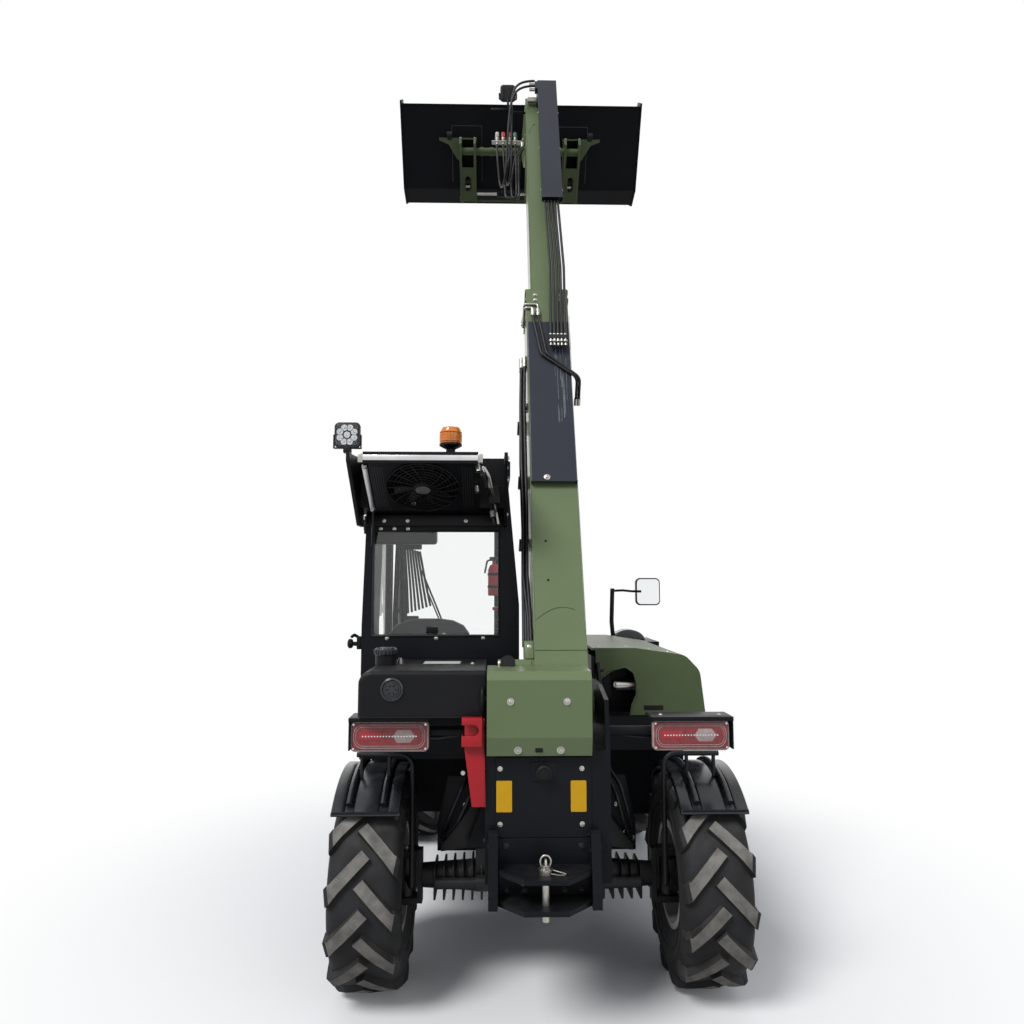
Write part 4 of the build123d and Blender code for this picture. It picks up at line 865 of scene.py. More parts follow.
def make_fender(end, hand, side):
    """A moulded mudguard with lands and valleys and a folded lower lip."""
    key = f"{end}_{hand}"
    low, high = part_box(f"{key}_tyre")
    centre = (low + high) / 2
    shape = Shape(f"{key}_mudguard", "gloss_plastic", "black_paint", "zinc")
    part = bmesh.new()
    steps = 40
    section = list(FENDER_SECTION)
    inner = [(a * (1 - 0.004 / 0.15) if abs(a) > 0.14 else a, r - FENDER_THICK) for a, r in reversed(section)]
    loop = section + inner
    rings = []
    for i in range(steps + 1):
        turn = math.radians(90 - FENDER_REACH + 2 * FENDER_REACH * i / steps)
        rings.append([part.verts.new(wheel_point(centre, side * a, turn, r)) for a, r in loop])
    for first, second in zip(rings, rings[1:]):
        for k in range(len(loop)):
            m = (k + 1) % len(loop)
            part.faces.new((first[k], first[m], second[m], second[k]))
    part.faces.new(rings[0])
    part.faces.new(list(reversed(rings[-1])))
    bmesh.ops.recalc_face_normals(part, faces=part.faces)
    shape.take(part, Matrix.Identity(4), "gloss_plastic")
    for turn in (90 - FENDER_REACH, 90 + FENDER_REACH):
        lip = [wheel_point(centre, side * a, math.radians(turn), 0.520) for a in (-0.150, 0.159)]
        tilt = facing(lip[1] - lip[0], lip[0])
        width = (lip[1] - lip[0]).length
        shape.lathe([(0, 0), (0.011, 0), (0.011, width), (0, width)], tilt, "gloss_plastic", 12)
    shape.done(f"{key}_hub", [f"{key}_fender"], sharp=25)


def make_wheels():
    """All that turns or steers at the four corners."""
    for end in ENDS:
        for hand, side in HANDS:
            make_tyre(end, hand)
            make_wheel_details(end, hand, side)
            make_fender(end, hand, side)
            make_mudguard_straps(end, hand, side)


# ---------------------------------------------------------------- rear end


def make_rear_cover_details():
    """Bolts of the rear cover, the panel's bolts, blank labels and the trailer socket."""
    shape = Shape("rear_cover_bolts", "zinc", "grille_dark")
    for x, y, z in ((-0.1425, -0.602, 1.408), (0.098, -0.602, 1.408)):
        place = rearward(x, y - 0.0003, z)
        shape.lathe([(0, 0), (0.0155, 0), (0.0155, 0.003), (0, 0.003)], place, "zinc", 28)
        shape.dome_bolt(rearward(x, y - 0.0028, z), 0.009, "zinc")
    low_face = turned(X_AXIS, Vector((0, -0.963, -0.268)), at(0, 0, 0))
    for x in (-0.111, 0.071):
        place = low_face.copy()
        place.translation = at(x, -0.5872, 1.204)
        shape.lathe([(0, 0), (0.017, 0), (0.017, 0.003), (0, 0.003)], place, "zinc", 28)
        shape.bolt(place, 0.0105, "zinc", False)
    place = low_face.copy()
    place.translation = at(-0.021, -0.5872, 1.204)
    shape.prism(rounded_outline(0.032, 0.018, 0.003), 0.0, 0.004, "grille_dark", 0.001, place)
    shape.done("chassis")

    panel = Shape("rear_panel_bolts", "zinc", "black_paint", "grille_dark")
    for x, z in ((-0.186, 1.118), (0.165, 1.118), (-0.186, 0.888), (0.165, 0.888)):
        panel.dome_bolt(rearward(x, -0.5463, z), 0.0068, "zinc")
    for x, z in ((-0.195, 0.842), (0.195, 0.842)):
        panel.dome_bolt(rearward(x, -0.5463, z), 0.005, "black_paint")
    socket = rearward(0, -0.5743, 1.105)
    panel.lathe([(0, 0.0), (0.030, 0.0), (0.034, 0.003), (0.034, 0.010), (0.026, 0.014), (0.026, 0.009),
                 (0, 0.009)],
                socket, "grille_dark", 36)
    for x in (-0.045, 0.045):
        panel.dome_bolt(rearward(x, -0.5463, 1.105), 0.0042, "zinc")
    panel.prism(rounded_outline(0.11, 0.082, 0.01), 0.0, 0.004, "black_paint", 0.001,
                rearward(0, -0.5463, 1.105))
    panel.done("chassis")

    labels = Shape("rear_labels", "yellow_label", "black_paint")
    for x in (-0.1685, 0.1500):
        labels.prism(rounded_outline(0.067, 0.130, 0.004), 0.0, 0.0006, "yellow_label", 0.0,
                     rearward(x, -0.5464, 1.003))
    labels.done("chassis")


def make_safety_strut():
    """The lift cylinder's safety strut: a folded head with a round seat, and a leg that narrows downward."""
    shape = Shape("safety_strut_shape", "red_paint", "zinc")
    face = rearward(0, -0.585, 0)
    seat = [(-0.300 + 0.023 * math.cos(math.radians(a)),
             1.285 + 0.023 * math.sin(math.radians(a))) for a in range(-90, 91, 15)]
    head = [(-0.350, 1.218), (-0.262, 1.218), (-0.262, 1.337), (-0.350, 1.337),
            (-0.350, 1.308)] + seat[::-1] + [(-0.350, 1.262)]
    shape.prism(head, 0.0, 0.005, "red_paint", 0.0015, face, angle=60)
    head_plates = (
        ((-0.350, -0.585, 1.332), (-0.262, -0.545, 1.337)),
        ((-0.350, -0.585, 1.218), (-0.262, -0.550, 1.223)),
        ((-0.267, -0.585, 1.218), (-0.262, -0.545, 1.337)),
        ((-0.350, -0.585, 1.218), (-0.345, -0.545, 1.262)),
    )
    for low, high in head_plates:
        shape.box(at(*low), at(*high), "red_paint", 0.0015)
    leg = [(-0.306, 0.963), (-0.252, 0.963), (-0.258, 1.330), (-0.338, 1.330), (-0.338, 1.200)]
    shape.prism(leg, 0.0, 0.005, "red_paint", 0.0015, rearward(0, -0.555, 0), angle=60)
    leg_top = 1.330
    for x0, x1, lean in ((-0.338, -0.333, 0.034), (-0.258, -0.253, 0.006)):
        run = rearward(0, -0.545, 0)
        shape.prism([(x0 + lean, 0.963), (x1 + lean, 0.963), (x1, 1.200), (x1, leg_top), (x0, leg_top),
                     (x0, 1.200)], 0.0, 0.014, "red_paint",
                    0.001, run, angle=60)
    shape.bolt(rearward(-0.345, -0.540, 1.10), 0.007, "zinc")
    shape.box(at(-0.300, -0.545, 1.120), at(-0.250, -0.500, 1.160), "red_paint", 0.002)
    shape.done("chassis", ["safety_strut"])


LAMP_SIZE = (0.346, 0.134)


def make_tail_lamps():
    """Rear light clusters: tray, rounded lens with pale border rings, segments and a row of small lights."""
    shape = Shape("rear_lights", "black_plastic", "red_lens", "pale_lens", "bright_red_lens",
                  "lamp_reflector", "amber_lens")
    width, height = LAMP_SIZE
    for middle in (-0.672, 0.662):
        base = rearward(middle, -0.4023, 1.238)
        shape.prism(rounded_outline(width - 0.012, height - 0.012, 0.018), 0.0, 0.040, "black_plastic", 0.004,
                    base)
        shape.prism(rounded_outline(width, height, 0.022), 0.034, 0.052, "pale_lens", 0.006, base, 3)
        shape.prism(rounded_outline(width - 0.018, height - 0.018, 0.020), 0.050, 0.0555, "red_lens", 0.0025,
                    base)
        for inset, thick in ((0.034, 0.0018), (0.052, 0.0014)):
            loop = rounded_outline(width - inset, height - inset, (height - inset) / 2 - 0.010, 10)
            ring = [base @ Vector((x, y, 0.0562)) for x, y in loop]
            shape.tube(ring + [ring[0]], thick, "pale_lens", 8)
        shape.prism(rounded_outline(0.098, 0.034, 0.006), 0.0555, 0.0572, "bright_red_lens", 0.001,
                    base @ Matrix.Translation((-0.085, 0.001, 0)))
        shape.prism([(-0.012, -0.028), (0.046, -0.028), (0.070, 0), (0.046, 0.028), (-0.012, 0.028),
                     (-0.030, 0)],
                    0.0555, 0.0571, "pale_lens", 0.001, base @ Matrix.Translation((0.045, 0.001, 0)))
        for i in range(19):
            spot = base @ Matrix.Translation((-0.117 + 0.013 * i, 0.001, 0.0568))
            shape.lathe([(0, 0), (0.0042, 0), (0.0034, 0.0016), (0, 0.0022)], spot, "lamp_reflector", 12)
        for x, y in ((-0.158, 0.052), (0.158, 0.052), (-0.158, -0.052), (0.158, -0.052)):
            shape.lathe([(0, 0), (0.0045, 0), (0.0045, 0.003), (0, 0.003)],
                        base @ Matrix.Translation((x, y, 0.0552)),
                        "lamp_reflector", 14)
        for x in (-0.10, 0.10):
            shape.rod(base @ Vector((x, 0, 0.0)), base @ Vector((x, 0, -0.045)), 0.010, "black_plastic", 16)
    shape.done("chassis", ["tail_lamps"], sharp=30)

    trim = Shape("lamp_tray_trim", "black_paint", "zinc", "hose_rubber")
    for low, high in ((-0.850, -0.498), (0.484, 0.848)):
        trim.box((low, REAR_AXLE_Y - 0.475, 1.3153), (high, REAR_AXLE_Y - 0.335, 1.3213), "black_paint",
                 0.002)
        trim.box((low, REAR_AXLE_Y - 0.478, 1.303), (high, REAR_AXLE_Y - 0.4735, 1.3213), "black_paint",
                 0.0015)
        for x in (low + 0.05, high - 0.05):
            trim.dome_bolt(upward(x, -0.42, 1.3213), 0.007, "zinc")
        middle = (low + high) / 2
        trim.tube([at(middle, -0.40, 1.22), at(middle, -0.37, 1.20), at(middle, -0.37, 1.23),
                   at(0.7 * middle, -0.375, 1.215), at(0.42 * middle, -0.37, 1.235)], 0.006, "hose_rubber",
                  10, 0.03)
    trim.done("chassis")


def make_drawbar_details():
    """The drawbar's weld beads, bolts, grab ring and pin fittings."""
    shape = Shape("drawbar_fittings", "zinc", "black_paint", "axle_paint")
    ring = []
    for i in range(25):
        turn = 2 * math.pi * i / 24
        ring.append(at(0.022 * math.cos(turn), -0.660, 0.772 + 0.026 * math.sin(turn)))
    shape.tube(ring, 0.0042, "zinc", 12)
    shape.lathe([(0, 0), (0.030, 0), (0.030, 0.006), (0.018, 0.009), (0.018, 0.022), (0, 0.022)],
                upward(0, -0.660, 0.7402), "zinc", 32)
    shape.tube([at(0.030, -0.672, 0.744), at(0.062, -0.682, 0.738), at(0.088, -0.680, 0.730),
                at(0.062, -0.676, 0.724),
                at(0.020, -0.684, 0.733)], 0.0026, "zinc", 8, 0.02)
    for x in (-0.085, 0.085):
        shape.bolt(rearward(x, -0.5553, 0.660), 0.015, "zinc")
        shape.bolt(rearward(x, -0.5553, 0.618), 0.012, "axle_paint")
    for x in (-0.160, 0.160):
        for z in (0.80, 0.62):
            shape.bolt(rearward(x, -0.5553, z), 0.011, "axle_paint")
    for side in (-1, 1):
        bead = [at(side * 0.1935, -0.556, 0.59 + 0.02 * i) for i in range(12)]
        shape.tube(bead, 0.0045, "black_paint", 8)
        shape.tube([at(side * 0.192, -0.556, 0.7265), at(side * 0.192, -0.618, 0.7265),
                    at(side * 0.085, -0.730, 0.7265)],
                   0.003, "black_paint", 8)
        loop = [at(side * 0.236, -0.580 + 0.031 * math.cos(t), 0.80 + 0.031 * math.sin(t))
                for t in [2 * math.pi * k / 20 for k in range(21)]]
        shape.tube(loop, 0.003, "black_paint", 8)
    shape.done("chassis")


def make_tank_details():
    """The tank's filler cap, round boss, blank label, seam and fittings."""
    shape = Shape("tank_fittings", "gloss_plastic", "white_label", "zinc", "grille_dark", "black_plastic")
    cap = upward(-0.724, -0.240, 1.574)
    shape.lathe([(0, 0), (0.050, 0), (0.052, 0.004), (0.052, 0.026), (0.046, 0.034), (0, 0.036)], cap,
                "gloss_plastic", 40)
    for i in range(20):
        turn = 2 * math.pi * i / 20
        spot = cap @ Matrix.Rotation(turn, 4, "Z")
        shape.box((0.050, -0.0035, 0.003), (0.0555, 0.0035, 0.027), "gloss_plastic", 0.001, spot, 1)
    boss = rearward(-0.656, -0.5203, 1.450)
    shape.lathe([(0, 0), (0.052, 0), (0.050, 0.008), (0.042, 0.012), (0.038, 0.006), (0.030, 0.006),
                 (0.028, 0.012),
                 (0.010, 0.013), (0, 0.014)], boss, "gloss_plastic", 40)
    for i in range(6):
        turn = 2 * math.pi * i / 6
        spot = boss @ Matrix.Rotation(turn, 4, "Z") @ Matrix.Translation((0.019, 0, 0.0125))
        shape.lathe([(0, 0), (0.004, 0), (0.004, 0.002), (0, 0.002)], spot, "grille_dark", 12)
    shape.prism([(-0.55, REAR_AXLE_Y - 0.215), (-0.375, REAR_AXLE_Y - 0.215), (-0.375, REAR_AXLE_Y - 0.10),
                 (-0.55, REAR_AXLE_Y - 0.10)], 1.5293, 1.5303, "white_label")
    shape.dome_bolt(upward(-0.315, -0.22, 1.5293), 0.008, "zinc")
    shape.rod(at(-0.66, -0.20, 1.5293), at(-0.66, -0.20, 1.548), 0.014, "zinc", 20)
    shape.rod(at(-0.66, -0.20, 1.548), at(-0.66, -0.20, 1.556), 0.009, "zinc", 16)
    shape.box((-0.745, REAR_AXLE_Y - 0.5212, 1.337), (-0.262, REAR_AXLE_Y - 0.5203, 1.341), "black_plastic",
              0.0)
    shape.box((-0.798, REAR_AXLE_Y - 0.50, 1.3245), (-0.255, REAR_AXLE_Y, 1.3297), "gloss_plastic", 0.002)
    shape.tube([at(-0.262, -0.43, 1.45), at(-0.262, -0.55, 1.45), at(-0.262, -0.56, 1.40),
                at(-0.262, -0.53, 1.33)],
               0.011, "black_plastic", 14, 0.03)
    shape.done("chassis")


def make_chassis_details():
    """Pipes, bolts and brackets on and under the chassis, behind and between the wheels."""
    shape = Shape("chassis_fittings", "zinc", "black_paint", "hose_rubber", "axle_paint", "grille_dark")
    for x, y, z in ((-0.2503, -0.42, 1.10), (-0.2503, -0.42, 0.96), (-0.2503, -0.30, 1.22)):
        shape.bolt(sideward(-1, x, y, z), 0.010, "zinc")
    for x, y, z in ((0.2903, -0.42, 1.10), (0.2903, -0.42, 0.96), (0.2903, -0.30, 1.22)):
        shape.bolt(sideward(1, x, y, z), 0.010, "zinc")
    for side, face in ((-1, -0.250), (1, 0.290)):
        pin = sideward(side, face + side * 0.0003, -0.15, 1.32)
        shape.lathe([(0, 0), (0.072, 0), (0.072, 0.010), (0, 0.010)], pin @ Matrix.Translation((0, 0, 0.0)),
                    "black_paint", 36)
        shape.bolt(pin @ Matrix.Translation((0.0, 0.0, 0.0155)), 0.020, "zinc")
        for y in (-0.12, 0.12):
            shape.bolt(sideward(side, face + side * 0.0003, y - 0.04, 0.70), 0.014,
                       "axle_paint")
    # hoses from the frame down to the cross plates, inside the reach of the steered knuckles
    hoses = (
        ((-0.300, -0.10, 0.99), (-0.33, -0.20, 0.90), (-0.38, -0.18, 0.80), (-0.44, -0.10, 0.71),
         (-0.468, -0.012, 0.665)),
        ((-0.300, -0.05, 1.03), (-0.36, -0.18, 0.95), (-0.42, -0.16, 0.82), (-0.455, -0.09, 0.73),
         (-0.440, -0.012, 0.690)),
        ((0.340, -0.10, 0.99), (0.37, -0.20, 0.90), (0.40, -0.18, 0.80), (0.44, -0.10, 0.71),
         (0.468, -0.012, 0.665)),
        ((0.340, -0.05, 1.03), (0.39, -0.18, 0.95), (0.43, -0.16, 0.82), (0.455, -0.09, 0.73),
         (0.440, -0.012, 0.690)),
    )
    for route in hoses:
        shape.tube([at(*place) for place in route], 0.009, "hose_rubber", 12, 0.06)
        shape.rod(at(*route[0]), at(route[0][0] * 0.93, route[0][1] + 0.02, route[0][2] + 0.02), 0.013,
                  "zinc", 14)
        shape.rod(at(*route[-1]), at(route[-1][0], route[-1][1] + 0.02, route[-1][2] - 0.03), 0.012, "zinc",
                  14)
    shape.done("chassis")

    for end, y in (("rear", 0.0), ("front", 2.25)):
        axle = Shape(f"{end}_axle_ribs", "axle_paint", "zinc", "black_paint")
        for side in (-1, 1):
            for i in range(7):
                x = side * (0.225 + 0.045 * i)
                top = 0.090 - 0.004 * i
                fin = [(-0.096, -0.085), (0.096, -0.085), (0.104, -0.060), (0.104, top - 0.02), (0.085, top),
                       (-0.085, top), (-0.104, top - 0.02), (-0.104, -0.060)]
                axle.prism(fin, -0.005, 0.005, "axle_paint", 0.002, sideward(1, x, y, 0.49))
            axle.lathe([(0.10, 0), (0.145, 0), (0.145, 0.016), (0.10, 0.016)],
                       sideward(side, side * 0.070, y, 0.49), "axle_paint", 40)
            for i in range(10):
                turn = 2 * math.pi * i / 10
                spot = at(side * 0.086, y + 0.133 * math.cos(turn), 0.49 + 0.133 * math.sin(turn))
                axle.bolt(turned(Y_AXIS, X_AXIS * side, spot), 0.008, "axle_paint", False)
            for z in (0.375, 0.602):
                axle.bolt(turned(X_AXIS, Z_AXIS if z > 0.5 else -Z_AXIS,
                                 at(side * 0.64, y, z + (0.0135 if z > 0.5 else -0.0105))),
                          0.014, "zinc")
            for place in ((0.215, -0.07), (0.285, -0.07), (0.215, 0.07), (0.285, 0.07)):
                axle.bolt(turned(X_AXIS, -Z_AXIS, at(side * place[0], y + place[1], 0.5797)), 0.012, "zinc",
                          False)
            # cross plates over the beam, with a sloping gusset before each
            edge = 0.0 if side > 0 else 0.040
            root = 0.300 - edge
            face = rearward(0, y + 0.008, 0)
            plate = [(root, 0.602), (0.490, 0.602), (0.490, 0.740), (0.440, 0.960), (root, 0.960)]
            axle.prism([(side * x, z) for x, z in plate], 0.0, 0.008, "black_paint", 0.002, face)
            gusset = [(root, 0.640), (0.470, 0.610), (0.470, 0.640), (0.370, 0.760), (root + 0.015, 0.900),
                      (root, 0.900)]
            axle.prism([(side * x, z) for x, z in gusset], 0.030, 0.046, "axle_paint", 0.002, face)
            for x, z in ((0.330, 0.92), (0.330, 0.70), (0.395, 0.82)):
                axle.dome_bolt(rearward(side * (x - edge), y - 0.0002, z), 0.0065, "zinc")
        axle.rod(at(-0.49, y - 0.115, 0.49), at(0.49, y - 0.115, 0.49), 0.026, "axle_paint", 24)
        axle.rod(at(-0.30, y - 0.115, 0.49), at(0.30, y - 0.115, 0.49), 0.036, "axle_paint", 28)
        axle.box((-0.06, REAR_AXLE_Y + y - 0.17, 0.44), (0.06, REAR_AXLE_Y + y - 0.09, 0.54), "axle_paint",
                 0.012)
        axle.done("chassis")


def make_mudguard_straps(end, hand, side):
    """Two flattened tube straps that lie in the mudguard's valleys, and the bolts that hold it."""
    key = f"{end}_{hand}"
    low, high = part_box(f"{key}_tyre")
    centre = (low + high) / 2
    shape = Shape(f"{key}_straps", "black_paint", "zinc", "gloss_plastic")
    for across in (-0.073, 0.081):
        route = [wheel_point(centre, side * across, math.radians(turn), 0.5345) for turn in range(112, 50,
                                                                                                  -6)]
        shape.tube(route, 0.0150, "gloss_plastic", 14)
        shape.dome_bolt(turned(X_AXIS, wheel_point(Vector((0, 0, 0)), 0, math.radians(60), 1.0),
                               wheel_point(centre, side * across, math.radians(60), 0.540)), 0.0055, "zinc")
    lip = [wheel_point(centre, side * a, math.radians(90 - FENDER_REACH), 0.527) for a in (-0.145, 0.154)]
    shape.tube([lip[0], lip[1]], 0.007, "black_paint", 12)
    shape.done(f"{key}_hub")


# ---------------------------------------------------------------- cab top

FAN_FACE = Vector((0, -0.544, -0.839))


def fan_place(x, slide, out=0.0):
    """A placing on the condenser's sloping underside: slide runs down it to the back, out away from it."""
    down_slope = Vector((0, -0.839, 0.544))
    origin = at(-0.56, -0.205, 2.3755) + X_AXIS * x + down_slope * slide + FAN_FACE * out
    return turned(X_AXIS, FAN_FACE, origin)


def make_condenser_details():
    """The condenser's fan with its wire guard, alloy header strips, pipes, fittings and bolts."""
    shape = Shape("condenser_fan", "grille_dark", "fin_metal", "aluminium", "white_label")
    recess = fan_place(0, 0, -0.034)
    for i in range(9):
        blade = recess @ Matrix.Rotation(2 * math.pi * i / 9, 4, "Z") @ Matrix.Rotation(0.5, 4, "X")
        shape.box((0.040, -0.024, 0.004), (0.158, 0.024, 0.0065), "fin_metal", 0.0, blade)
    shape.lathe([(0, 0), (0.052, 0), (0.052, 0.018), (0.046, 0.024), (0, 0.024)], recess, "grille_dark", 36)
    guard = fan_place(0, 0, 0.004)
    for radius in (0.052, 0.070, 0.088, 0.106, 0.124, 0.142, 0.160, 0.176):
        ring = [guard @ Vector((radius * math.cos(t), radius * math.sin(t),
                                0.006 if radius < 0.15 else 0.002))
                for t in [2 * math.pi * k / 48 for k in range(49)]]
        shape.tube(ring, 0.0023 if radius < 0.17 else 0.004, "grille_dark", 6)
    for i in range(20):
        turn = 2 * math.pi * i / 20
        spoke = [guard @ Vector((r * math.cos(turn + (r - 0.05) * 2.4), r * math.sin(turn + (r - 0.05) * 2.4),
                                 z))
                 for r, z in ((0.045, 0.009), (0.09, 0.009), (0.14, 0.007), (0.178, 0.001))]
        shape.tube(spoke, 0.0026, "grille_dark", 6)
    shape.lathe([(0, 0.002), (0.048, 0.002), (0.046, 0.010), (0.040, 0.013), (0, 0.014)], guard,
                "grille_dark", 36)
    turns = [2 * math.pi * k / 32 for k in range(32)]
    shape.prism([(0.036 * math.cos(t), 0.028 * math.sin(t)) for t in turns],
                0.0138, 0.0150, "aluminium", 0.0, guard)
    for x in range(44):
        shape.box((-0.245 + 0.0112 * x, -0.150, -0.0005), (-0.2445 + 0.0112 * x + 0.0045, 0.150, 0.0008),
                  "fin_metal", 0.0,
                  fan_place(0, 0, 0.0004)) if abs(-0.245 + 0.0112 * x) > 0.182 else None
    shape.done("chassis")

    trim = Shape("condenser_trim", "aluminium", "black_plastic", "zinc", "grille_dark", "hose_rubber",
                 "green_fitting",
                 "gloss_plastic")
    trim.box((-0.832, REAR_AXLE_Y - 0.378, 2.480), (-0.285, REAR_AXLE_Y - 0.3605, 2.506), "aluminium", 0.003)
    trim.box((-0.832, REAR_AXLE_Y - 0.372, 2.468), (-0.285, REAR_AXLE_Y - 0.3605, 2.4798), "black_plastic",
             0.002)
    for x in (-0.838, -0.279):
        trim.box((x - 0.012, REAR_AXLE_Y - 0.380, 2.470), (x + 0.012, REAR_AXLE_Y - 0.345, 2.512), "zinc",
                 0.003)
    # left strip down the slope, with its bolts
    strip = fan_place(-0.262, 0, 0.0)
    trim.box((-0.014, -0.175, 0.0005), (0.010, 0.168, 0.010), "aluminium", 0.002, strip)
    for y in (-0.165, 0.155):
        trim.dome_bolt(strip @ Matrix.Translation((-0.002, y, 0.010)), 0.008, "zinc")
    # right side: receiver pipes and fittings
    for shift, finish in ((0.0, "hose_rubber"), (0.022, "zinc")):
        trim.tube([at(-0.285 + shift, -0.335, 2.455), at(-0.262 + shift, -0.330, 2.42),
                   at(-0.250 + shift, -0.27, 2.37),
                   at(-0.236 + shift, -0.18, 2.33), at(-0.225 + shift, -0.09, 2.27),
                   at(-0.215 + shift, -0.065, 2.21)],
                  0.0075, finish, 12, 0.03)
    for x, y, z, finish in ((-0.292, -0.330, 2.462, "zinc"), (-0.270, -0.300, 2.445, "aluminium"),
                            (-0.240, -0.215, 2.395, "zinc"),
                            (-0.212, -0.150, 2.345, "green_fitting"), (-0.225, -0.100, 2.268, "aluminium"),
                            (-0.300, -0.215, 2.378, "zinc")):
        trim.rod(at(x, y, z), at(x + 0.004, y - 0.012, z - 0.030), 0.0125, finish, 16)
        trim.rod(at(x, y, z), at(x, y + 0.010, z + 0.018), 0.0085, finish, 14)
    trim.box((-0.240, REAR_AXLE_Y - 0.200, 2.30), (-0.185, REAR_AXLE_Y - 0.120, 2.385), "grille_dark", 0.006)
    for x, y, z in ((-0.80, -0.0602, 2.312), (-0.62, -0.0602, 2.312), (-0.40, -0.0602, 2.312),
                    (-0.23, -0.0602, 2.312)):
        trim.dome_bolt(turned(X_AXIS, Vector((0, -0.9, -0.43)), at(x, y - 0.0005, z)), 0.006, "zinc")
    for x in (-0.9053, -0.1497):
        side = -1 if x < -0.5 else 1
        for y, z in ((-0.33, 2.500), (-0.15, 2.42), (-0.02, 2.26), (-0.02, 2.50)):
            trim.dome_bolt(sideward(side, x, y, z), 0.009, "zinc")
    # rubber lips below the housing, over the rear window
    trim.box((-0.875, REAR_AXLE_Y + 0.028, 2.205), (-0.165, REAR_AXLE_Y + 0.0495, 2.264), "black_plastic",
             0.004)
    for x in (-0.78, -0.66, -0.36):
        trim.dome_bolt(rearward(x, 0.0275, 2.232), 0.006, "zinc")
    trim.tube([at(-0.83, -0.04, 2.285), at(-0.83, -0.02, 2.20), at(-0.84, 0.03, 2.10)], 0.007, "hose_rubber",
              10, 0.03)
    trim.done("chassis")


def lamp_head(shape, place, width, height, lights):
    """A square work lamp: rounded frame, pale reflector cells under a clear lens, and fins behind."""
    shape.prism(rounded_outline(width, height, 0.022), -0.010, 0.012, "gloss_plastic", 0.004, place, 3)
    shape.prism(rounded_outline(width - 0.016, height - 0.016, 0.016), 0.011, 0.0135, "grille_dark", 0.001,
                place)
    for x, y in lights:
        spot = place @ Matrix.Translation((x, y, 0.0132))
        shape.lathe([(0.0, 0.0), (0.0155, 0.0), (0.0165, 0.004), (0.0150, 0.004), (0.006, 0.0012),
                     (0.0, 0.0012)], spot,
                    "lamp_reflector", 24)
        shape.lathe([(0, 0.001), (0.0048, 0.001), (0.0040, 0.004), (0, 0.005)], spot, "white_label", 14)
    shape.prism(rounded_outline(width - 0.018, height - 0.018, 0.015), 0.0172, 0.0184, "clear_lens", 0.0,
                place)
    for i in range(7):
        x = -width / 2 + 0.016 + i * (width - 0.032) / 6
        shape.box((x - 0.0022, -height / 2 + 0.010, -0.040), (x + 0.0022, height / 2 - 0.010, -0.009),
                  "gloss_plastic", 0.001,
                  place, 1)
    shape.box((-width / 2 + 0.012, -height / 2 + 0.012, -0.024), (width / 2 - 0.012, height / 2 - 0.012,
                                                                  -0.009),
              "gloss_plastic", 0.002, place)


